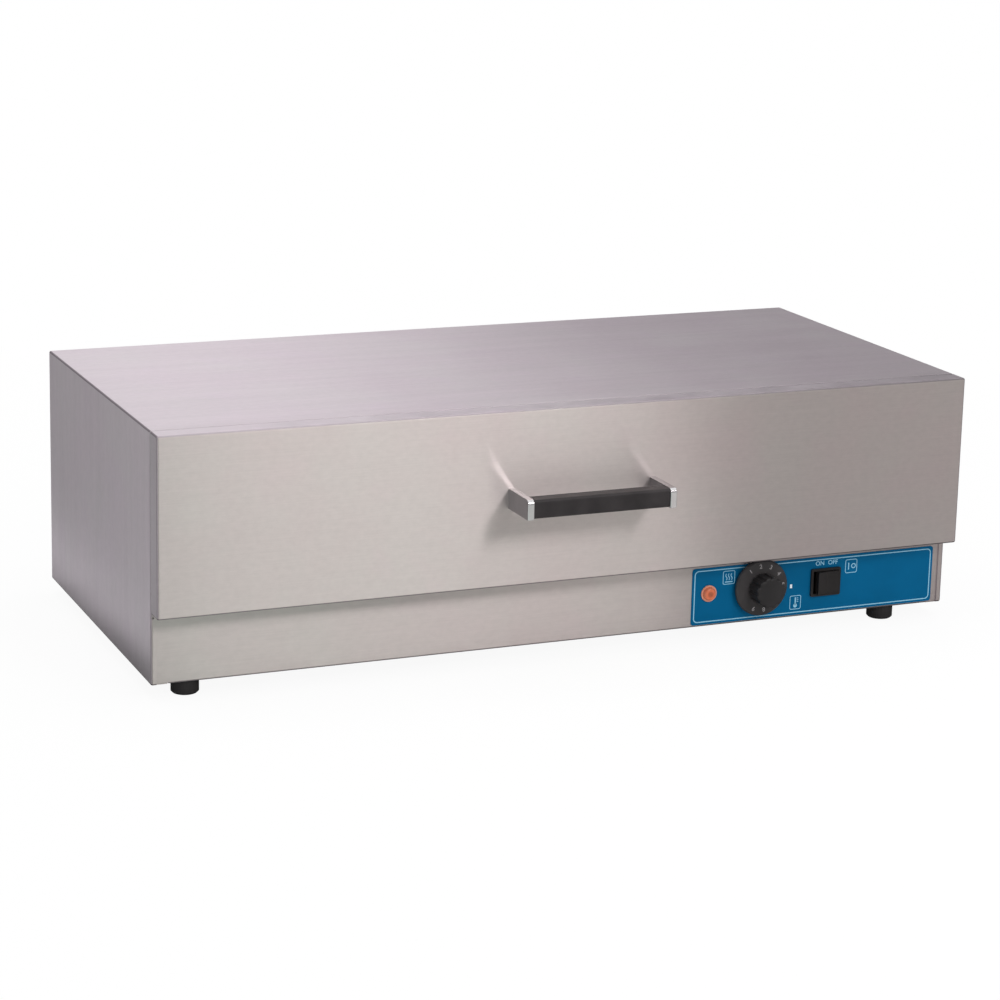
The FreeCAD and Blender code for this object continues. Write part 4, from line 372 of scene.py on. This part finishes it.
def lamp_lens(name):
    """Orange lens with ribs inside: dark over the lamp, orange round it, and pale at its rim."""
    n = material(name)
    rim_radius = 0.0075
    x, _, z = n.position()
    from_middle = n.length(n.plus(x, -middle(LENS_BOX, X)), n.plus(z, -middle(LENS_BOX, Z)))
    tone = n.ramp(n.times(from_middle, 1 / rim_radius),
                  (0.0, (0.26, 0.045, 0.020)), (0.28, (0.40, 0.062, 0.024)),
                  (0.46, (0.68, 0.140, 0.052)), (0.74, (0.64, 0.155, 0.070)),
                  (0.92, (0.72, 0.32, 0.22)))
    specks = n.noise(500, 2.0, 0.6)
    tone = n.mix(n.times(specks, 0.25), tone, (0.95, 0.42, 0.20))
    ribs = n.node("TexWave", {"Vector": n.scaled_place(1), "Scale": 420.0, "Distortion": 1.0},
                  wave_type="BANDS", bands_direction="X").outputs[1]
    n.surface(Base_Color=tone, Roughness=n.uneven(0.22, (specks, 0.08)), Subsurface_Weight=0.25,
              Subsurface_Radius=(0.004, 0.0015, 0.0008), Coat_Weight=0.5, Coat_Roughness=0.08,
              Normal=n.bump(ribs, 0.10, 0.0002))


def blanket(name, colour):
    """Matted glass wool."""
    n = material(name)
    mat = n.noise(120, 6.0, 0.7)
    fibres = n.noise((900, 60, 500), 4.0, 0.7)
    tone = n.ramp(mat, (0.3, shade(colour, 0.7)), (0.7, colour))
    height = n.plus(mat, n.times(fibres, 0.5))
    n.surface(Base_Color=tone, Roughness=0.95, Sheen_Weight=0.3,
              Normal=n.bump(height, 0.7, 0.0015))


def sheathed(name, colour):
    """Heat-darkened tube, with straw and blue spots from the heat."""
    n = material(name)
    cloud = n.noise(25, 4.0, 0.6)
    crust = n.noise(400, 3.0, 0.6)
    tone = n.ramp(cloud, (0.30, shade(colour, 0.7)), (0.48, colour), (0.58, (0.30, 0.22, 0.13)),
                  (0.70, (0.16, 0.17, 0.22)))
    n.surface(Base_Color=tone, Metallic=0.9, Roughness=n.uneven(0.5, (crust, 0.2)),
              Normal=n.bump(crust, 0.2, 0.0001))


brushed("wrap_steel", (0.725, 0.725, 0.725), marks=(12, 900, 12), spread_up=False,
        roughness=0.34, bands=(5, 75, 5))
# The drawer front's steel gets painted shade on its sides
brushed("front_steel", (0.71, 0.71, 0.71), marks=(12, 12, 900), spread_up=True, painted_side_shade=0.62)
brushed("rear_steel", (0.69, 0.69, 0.69), marks=(12, 12, 900), spread_up=True)
sheet_metal("liner_stainless", (0.60, 0.59, 0.58), 0.36, marks=(8, 500, 500), stains=0.2,
            relief=0.00004)
sheet_metal("pan_stainless", (0.68, 0.68, 0.69), 0.33, marks=(420, 420, 60), relief=0.00004)
sheet_metal("galvanised", (0.55, 0.56, 0.57), 0.44, spangle=0.30, relief=0.00006)
sheet_metal("slide_zinc", (0.60, 0.61, 0.63), 0.30, marks=(300, 6, 300))
plated("bearing_steel", (0.66, 0.66, 0.67), 0.12)
sheet_metal("zinc_steel", (0.62, 0.62, 0.60), 0.30, marks=500, stains=0.3)
# The handle's chrome gets painted shade on its sides and its level faces
plated("handle_chrome", (0.86, 0.85, 0.86), 0.08, painted_side_shade=0.50)
moulded("grip_black", (0.030, 0.0262, 0.027), 0.48, shine=0.25)
moulded("dial_black", (0.041, 0.038, 0.0385), 0.48, darker_front_y=DIAL_SKIRT_FRONT - 0.001)
moulded("switch_black", (0.015, 0.013, 0.0125), 0.46)
moulded("gland_black", (0.03, 0.03, 0.03), 0.5)
lamp_lens("orange_lens")
moulded("nylon_white", (0.72, 0.69, 0.61), 0.5, mottle=0.05)
printed_film("blue_label", (0.0004, 0.111, 0.250))
moulded("rubber_black", (0.020, 0.018, 0.0185), 0.72, grain=900, depth=0.00015)
moulded("silicone_seal", (0.16, 0.15, 0.15), 0.6, grain=700)
blanket("glass_wool", (0.74, 0.66, 0.42))
sheathed("element_sheath", (0.20, 0.19, 0.18))
moulded("ceramic_white", (0.80, 0.78, 0.73), 0.2, grain=300, mottle=0.04, coat=0.5)
moulded("phenolic_black", (0.05, 0.03, 0.022), 0.4)
sheet_metal("copper_tube", (0.80, 0.42, 0.28), 0.32, marks=200)
sheet_metal("brass_parts", (0.78, 0.60, 0.28), 0.34, marks=300)
moulded("wire_insulation", (0.05, 0.048, 0.05), 0.6)
ink("pale_ink", (0.30, 0.62, 0.80))
ink("white_ink", (0.86, 0.93, 0.95))
ink("dial_ink", (0.36, 0.345, 0.35))

# A node has the finish that its material slot names, apart from these
OWN_FINISHES = {
    "outer_wrap": "wrap_steel",
    "rear_panel": "rear_steel",
    "front_fascia": "front_steel",
    "front_frame": "front_steel",
    "drawer_front_skin": "front_steel",
    "dial_knob": "dial_black",
}
for name, node in NODES.items():
    node.data.materials.clear()
    node.data.materials.append(MATERIALS[OWN_FINISHES.get(name, SLOTS[name])])


# ------------------------------------------------------------ print on the label and the dial

INK_THICKNESS = 0.00008
LETTER_BOLDNESS = 0.012
WELD_DISTANCE = 1e-6
LABEL_LEFT, LABEL_FACE, LABEL_LOW = LABEL_BOX[0]
LABEL_WIDTH = (LABEL_BOX[1][X] - LABEL_LEFT) / MM
LABEL_HEIGHT = (LABEL_BOX[1][Z] - LABEL_LOW) / MM

# The border and the symbols are drawn in millimetres. A shape is a list of rings of (x, z) points:
# its outline, and where it has a hole, the outline of that, with as many points.


def bar(x, z):
    """A filled rectangle, from x[0] to x[1] and from z[0] to z[1]."""
    return [[(x[0], z[0]), (x[1], z[0]), (x[1], z[1]), (x[0], z[1])]]


def arc(centre, radius, start, end, steps):
    """Points on an arc from one angle in degrees to another, anticlockwise, with both ends."""
    angles = [math.radians(start + (end - start) * step / steps) for step in range(steps + 1)]
    return [(centre[0] + radius * math.cos(angle), centre[1] + radius * math.sin(angle))
            for angle in angles]


def disc(centre, *radii):
    """A filled circle, or a ring where a second radius gives its hole."""
    return [arc(centre, radius, 0, 360, steps=20)[:-1] for radius in radii]


def rounded(x, z, radius):
    """The points of a rectangle with rounded corners."""
    right, left = x[1] - radius, x[0] + radius
    top, bottom = z[1] - radius, z[0] + radius
    centres = ((right, top), (left, top), (left, bottom), (right, bottom))
    return [point for turn, centre in enumerate(centres)
            for point in arc(centre, radius, 90 * turn, 90 * turn + 90, steps=8)]


def outline(x, z, radius, width):
    """A line of that width along the inside of a rounded rectangle."""
    inside = rounded((x[0] + width, x[1] - width), (z[0] + width, z[1] - width), radius - width)
    return [rounded(x, z, radius), inside]


def stroke(points, width):
    """A line of that width through the points, with a shape for each run from one to the next."""
    runs = []
    for (x0, z0), (x1, z1) in zip(points, points[1:]):
        length = math.hypot(x1 - x0, z1 - z0)
        dx, dz = (z0 - z1) / length * width / 2, (x1 - x0) / length * width / 2
        runs.append([[(x0 - dx, z0 - dz), (x1 - dx, z1 - dz), (x1 + dx, z1 + dz),
                      (x0 + dx, z0 + dz)]])
    return runs


def framed(shapes, size, middle_x, middle_z):
    """Shapes that are drawn round (0, 0), in a rounded frame of that size, all moved to a place."""
    width, height = size
    frame_line = outline((-width / 2, width / 2), (-height / 2, height / 2), radius=1.8, width=0.6)
    return [[[(x + middle_x, z + middle_z) for x, z in ring] for ring in shape]
            for shape in [frame_line] + shapes]


def heat_symbol(x, z):
    """Three waves over a plate."""
    shapes = [bar((-3.9, 3.9), (-4.5, -3.6))]
    for wave_x in (-2.6, 0.0, 2.6):
        wave = [(wave_x + 0.75 * math.sin(step * math.pi / 3), step - 2.4) for step in range(7)]
        shapes += stroke(wave, 0.7)
    return framed(shapes, (12.2, 12.8), x, z)


def temperature_symbol(x, z):
    """A thermometer with three marks beside it."""
    shapes = [disc((0.0, -3.0), 1.9), bar((-0.65, 0.65), (-2.4, 4.7))]
    shapes += [bar((1.5, 3.0), (mark_z, mark_z + 0.6)) for mark_z in (0.3, 2.0, 3.7)]
    return framed(shapes, (11.6, 13.2), x, z)


def switch_symbol(x, z):
    """A stroke and a ring."""
    shapes = [bar((-3.1, -2.2), (-3.1, 3.3)), disc((2.4, 0.1), 2.4, 1.6)]
    return framed(shapes, (12.4, 13.0), x, z)


def add_piece(name, solid, finish, body):
    """Turn the bmesh into an object with that finish, which rides on that body."""
    mesh = bpy.data.meshes.new(name)
    solid.to_mesh(mesh)
    solid.free()
    mesh.materials.append(MATERIALS[finish])
    piece = bpy.data.objects.new(name, mesh)
    bpy.context.scene.collection.objects.link(piece)
    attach(piece, body)


def print_on_label(name, shapes, finish):
    """Ink on the label's face, in shapes whose points count from its lower left corner."""
    solid = bmesh.new()
    for shape in shapes:
        rings = [[solid.verts.new((LABEL_LEFT + x * MM, LABEL_FACE, LABEL_LOW + z * MM))
                  for x, z in ring] for ring in shape]
        if len(rings) == 1:
            faces = [solid.faces.new(rings[0])]
        else:
            outer, inner = rings
            faces = [solid.faces.new((outer[i - 1], outer[i], inner[i], inner[i - 1]))
                     for i in range(len(outer))]
        raised = bmesh.ops.extrude_face_region(solid, geom=faces)["geom"]
        front = [part for part in raised if isinstance(part, bmesh.types.BMVert)]
        bmesh.ops.translate(solid, verts=front, vec=(0, -INK_THICKNESS, 0))
    bmesh.ops.recalc_face_normals(solid, faces=solid.faces)
    add_piece(name, solid, finish, "case")


def text_mesh(text, size):
    """A word as a thin solid in the XY plane, with its middle at the origin."""
    curve = bpy.data.curves.new("text", "FONT")
    curve.body = text
    curve.size = size
    curve.align_x = "CENTER"
    curve.align_y = "CENTER"
    curve.extrude = INK_THICKNESS / 2
    curve.offset = size * LETTER_BOLDNESS
    holder = bpy.data.objects.new("text", curve)
    bpy.context.scene.collection.objects.link(holder)
    bpy.context.view_layer.update()
    graph = bpy.context.evaluated_depsgraph_get()
    mesh = bpy.data.meshes.new_from_object(holder.evaluated_get(graph))
    bpy.data.objects.remove(holder)
    bpy.data.curves.remove(curve)
    return mesh


def lettering(name, words, size, face, finish, body):
    """Words on a front face at y = face, each as (text, x, z, turn).

    x and z are the word's middle, and turn is in degrees, anticlockwise as read from the front.
    """
    solid = bmesh.new()
    upright = Matrix.Rotation(math.radians(90), 4, "X")
    for text, x, z, turn in words:
        mesh = text_mesh(text, size)
        mesh.transform(Matrix.Translation((x, face - INK_THICKNESS / 2, z))
                       @ Matrix.Rotation(math.radians(turn), 4, (0, -1, 0)) @ upright)
        solid.from_mesh(mesh)
        bpy.data.meshes.remove(mesh)
    bmesh.ops.remove_doubles(solid, verts=solid.verts, dist=WELD_DISTANCE)
    add_piece(name, solid, finish, body)


BORDER_GAP = 2.1
border = outline((BORDER_GAP, LABEL_WIDTH - BORDER_GAP), (BORDER_GAP, LABEL_HEIGHT - BORDER_GAP),
                 radius=4.2, width=0.9)
print_on_label("label_border", [border], "pale_ink")

# The symbols stand to the right of the pilot light, of the dial and of the switch, and the index
# mark beside the dial
symbols = heat_symbol(36.8, 42.0) + temperature_symbol(106.1, 11.9) + switch_symbol(162.9, 41.3)
print_on_label("label_symbols", symbols, "pale_ink")
print_on_label("label_index", [bar((99.9, 102.1), (25.8, 29.4))], "white_ink")

# The switch's two ends
ON_X, OFF_X, WORDS_Z = LABEL_LEFT + 130.1 * MM, LABEL_LEFT + 143.5 * MM, LABEL_LOW + 46.6 * MM
lettering("label_on_off", [("ON", ON_X, WORDS_Z, 0), ("OFF", OFF_X, WORDS_Z, 0)], 5.8 * MM,
          LABEL_FACE, "pale_ink", "case")

# The dial's figures stand on a circle, clockwise, with their feet to its middle
FIGURE_RADIUS = 20.3 * MM
FIRST_ANGLE, ANGLE_STEP = 126.6, 30.0
figures = []
for index in range(9):
    angle = FIRST_ANGLE - index * ANGLE_STEP
    figure_x = middle(DIAL_BOX, X) + FIGURE_RADIUS * math.cos(math.radians(angle))
    figure_z = middle(DIAL_BOX, Z) + FIGURE_RADIUS * math.sin(math.radians(angle))
    figures.append((str(index + 1), figure_x, figure_z, angle - 90))
lettering("dial_numbers", figures, 5.6 * MM, DIAL_SKIRT_FRONT, "dial_ink", "dial")


# ------------------------------------------------------------ floor

FLOOR_REACH = 14.0
FLOOR_Z = -0.0003
FLOOR_COLOUR = (0.86, 0.86, 0.86)
SHADOW_SHARE = 0.07

# The floor's tones change along lines that spread from this point behind the object, so that the
# drawer front mirrors them as upright bands. The tones go from its left to its right.
FAN_X, FAN_Y = -1.0, 2.03
FRONT_TONES = (
    (0.09, (0.51, 0.56, 0.535)), (0.30, (0.51, 0.53, 0.512)), (0.50, (0.53, 0.53, 0.515)),
    (0.62, (0.62, 0.60, 0.59)), (0.70, (0.27, 0.252, 0.249)), (0.875, (0.29, 0.272, 0.27)),
)
# The tones of the floor beside the left side, towards the case
SIDE_TONES = (
    (0.0, 0.29), (0.40, (0.50, 0.505, 0.51)), (0.60, (0.66, 0.665, 0.67)),
    (0.82, (0.48, 0.485, 0.49)), (1.0, 0.36),
)
# The floor that the case covers, for the painted shadow round it
CASE_HALF_WIDTH = CASE_WIDTH / 2
CASE_MIDDLE_Y, CASE_HALF_DEPTH = 0.026, 0.167


def mirrored_floor(n, x, y):
    """The floor's tone as metal mirrors it."""
    slant = n.calculate("DIVIDE", n.calculate("SUBTRACT", x, FAN_X),
                        n.calculate("SUBTRACT", FAN_Y, y))
    tone = n.ramp(n.span(slant, 0.25, 0.65), *FRONT_TONES)

    # The strip beside the left side, darker near the side's lower front corner
    left_side = n.times(n.opposite(n.span(x, -0.42, -0.32)), n.span(y, -0.35, -0.10))
    front_corner = n.times(n.opposite(n.span(y, -0.12, 0.12)), n.span(x, -0.50, -0.44))
    beside = n.ramp(n.span(x, -0.66, -0.40), *SIDE_TONES)
    beside = n.multiplied(beside, (0.45, 0.45, 0.45), front_corner)
    tone = n.mix(left_side, tone, beside)
    # White further out, in front of that strip
    left_front = n.times(n.opposite(n.span(x, -0.80, -0.55)), n.opposite(n.span(y, -0.25, -0.05)))
    tone = n.mix(left_front, tone, WHITE)

    # The distance from the case, which counts more to the front and rear than to the sides
    out_x = n.calculate("SUBTRACT", n.calculate("ABSOLUTE", x), CASE_HALF_WIDTH)
    out_y = n.calculate("ABSOLUTE", n.calculate("SUBTRACT", y, CASE_MIDDLE_Y))
    out_y = n.calculate("SUBTRACT", out_y, CASE_HALF_DEPTH)
    out_x = n.times(n.calculate("MAXIMUM", out_x, 0.0),
                    n.plus(n.times(n.span(y, -0.10, 0.10), 0.35), 0.45))
    out_y = n.times(n.calculate("MAXIMUM", out_y, 0.0), 1.8)
    away = n.length(out_x, out_y)
    # A slightly greener tone near the front left corner
    near_left = n.times(n.opposite(n.span(away, 0.2, 0.9)), n.opposite(n.span(slant, 0.34, 0.42)))
    near_left = n.times(near_left, n.opposite(left_side))
    tone = n.multiplied(tone, (0.98, 1.075, 1.03), near_left)
    # Painted shadow: dark where the case keeps the light off
    return n.mix(n.span(away, 0.0, 0.06), (0.10, 0.105, 0.10), tone)


def add_floor():
    """A floor that is white to the camera, with a faint shadow, and toned where it is mirrored."""
    mesh = bpy.data.meshes.new("studio_floor")
    mesh.from_pydata([(x * FLOOR_REACH, y * FLOOR_REACH, 0)
                      for x, y in ((-1, -1), (1, -1), (1, 1), (-1, 1))], [], [(0, 1, 2, 3)])
    floor = bpy.data.objects.new("studio_floor", mesh)
    bpy.context.scene.collection.objects.link(floor)
    floor.location.z = FLOOR_Z

    n = material("studio_floor")
    mesh.materials.append(MATERIALS["studio_floor"])
    camera, seen = n.rays()
    x, y, _ = n.position()
    tone = n.mix(camera, mirrored_floor(n, x, y), WHITE)
    shadow = n.ramp(n.span(n.length(x, y), 0.5, 1.3), (0.0, SHADOW_SHARE), (1.0, 0.0))
    glow_share = n.times(seen, n.opposite(n.times(camera, shadow)))
    glow = n.node("Emission", {"Color": tone, "Strength": 1.0}).outputs[0]
    plain = n.node("BsdfDiffuse", {"Color": FLOOR_COLOUR}).outputs[0]
    both = n.node("MixShader", {0: glow_share, 1: plain, 2: glow}).outputs[0]
    n.node("OutputMaterial", {"Surface": both})


# ------------------------------------------------------------ world

# The walls' tones as metal mirrors them, by their direction in degrees: 0 is straight behind the
# object, 90 to its right and 180 in front of it
WALL_TONES = (
    (-180.0, 0.28), (-90.0, 0.32), (-36.0, 0.36), (-16.2, 0.97), (13.68, 0.97), (19.44, 0.92),
    (26.64, 0.05), (36.0, 0.0), (50.4, 0.0), (90.0, 0.24), (129.6, 0.34),
    (144.0, (0.66, 0.63, 0.63)), (147.96, (0.62, 0.59, 0.59)), (151.56, 0.30), (153.72, 0.36),
    (160.2, 0.32), (165.6, 0.28), (180.0, 0.28),
)
CEILING = (0.9, 0.9, 0.9)
AMBIENT = (0.68, 0.68, 0.685)


def add_world():
    """A room that is white to the camera, toned where it is mirrored, and even where it lights."""
    world = bpy.data.worlds.new("studio")
    bpy.context.scene.world = world
    world.use_nodes = True
    n = Nodes(world.node_tree)
    camera, seen = n.rays()
    x, y, z = n.node("SeparateXYZ", {0: n.node("TexCoord").outputs["Generated"]}).outputs
    azimuth = n.calculate("ARCTAN2", x, y)
    elevation = n.calculate("ARCSINE", z)

    def between(angle, low, high):
        """0 at low degrees and 1 at high."""
        return n.span(angle, math.radians(low), math.radians(high))

    stops = [((degrees + 180) / 360, tone) for degrees, tone in WALL_TONES]
    walls = n.ramp(between(azimuth, -180, 180), *stops)
    # A bright panel on the rear wall, which the top mirrors
    panel_across = n.ramp(between(azimuth, -40, 20), (0.0, 0.0), (0.3, 1.0), (0.6, 1.0), (1.0, 0.0))
    panel_up = n.ramp(between(elevation, 10, 34), (0.0, 0.0), (0.4, 1.0), (0.7, 1.0), (1.0, 0.0))
    room = n.mix(n.times(panel_across, panel_up), walls, WHITE)
    room = n.mix(between(elevation, 42, 54), room, CEILING)
    room = n.mix(camera, room, WHITE)
    light = n.mix(seen, AMBIENT, room)
    background = n.node("Background", {"Color": light, "Strength": 1.0}).outputs[0]
    n.node("OutputWorld", {"Surface": background})


# ------------------------------------------------------------ lamps and camera

CAMERA_PLACE = (-0.99857, -2.30798, 0.76987)
YAW, PITCH, ROLL = math.radians(23.1685), math.radians(12.7552), math.radians(1.3488)
FOCAL_LENGTH_IN_PIXELS = 2822.69
PHOTO_WIDTH_IN_PIXELS = 1000
SENSOR_WIDTH_IN_MM = 36.0
# How far the picture's middle lies above the camera's axis, as a share of the picture's width
SHIFT_UP = -0.10


def add_softbox(name, place, aim, size, power, mirrored, colour=WHITE):
    """A rectangular lamp at a place, aimed at a point. Metal mirrors it only if mirrored."""
    lamp = bpy.data.lights.new(name, "AREA")
    lamp.color = colour
    lamp.shape = "RECTANGLE"
    lamp.size, lamp.size_y = size
    lamp.energy = power
    holder = bpy.data.objects.new(name, lamp)
    bpy.context.scene.collection.objects.link(holder)
    holder.location = place
    holder.rotation_euler = (Vector(aim) - Vector(place)).to_track_quat("-Z", "Y").to_euler()
    holder.visible_glossy = mirrored


def add_camera():
    """The photograph's camera, turned right by YAW, down by PITCH, and by ROLL about its view."""
    forward = Vector((math.sin(YAW) * math.cos(PITCH), math.cos(YAW) * math.cos(PITCH),
                      -math.sin(PITCH)))
    level = Vector((math.cos(YAW), -math.sin(YAW), 0.0))
    above = level.cross(forward)
    across = math.cos(ROLL) * level + math.sin(ROLL) * above
    upward = -math.sin(ROLL) * level + math.cos(ROLL) * above
    turned = Matrix((across, upward, -forward)).transposed().to_4x4()

    camera_data = bpy.data.cameras.new("camera")
    camera_data.sensor_width = SENSOR_WIDTH_IN_MM
    camera_data.lens = FOCAL_LENGTH_IN_PIXELS * SENSOR_WIDTH_IN_MM / PHOTO_WIDTH_IN_PIXELS
    camera_data.shift_y = SHIFT_UP
    camera = bpy.data.objects.new("camera", camera_data)
    bpy.context.scene.collection.objects.link(camera)
    camera.matrix_world = Matrix.Translation(CAMERA_PLACE) @ turned
    bpy.context.scene.camera = camera


add_floor()
add_world()
add_softbox("overhead", (0.0, -0.1, 2.3), (0, 0, 0.1), (2.4, 1.8), 28, mirrored=False)
add_softbox("key", (0.6225, -1.95, 1.45), (0, 0, 0.12), (0.825, 0.6), 12.4, mirrored=True,
            colour=(1.0, 0.94, 0.958))
add_camera()
bpy.context.scene.view_settings.view_transform = "Standard"
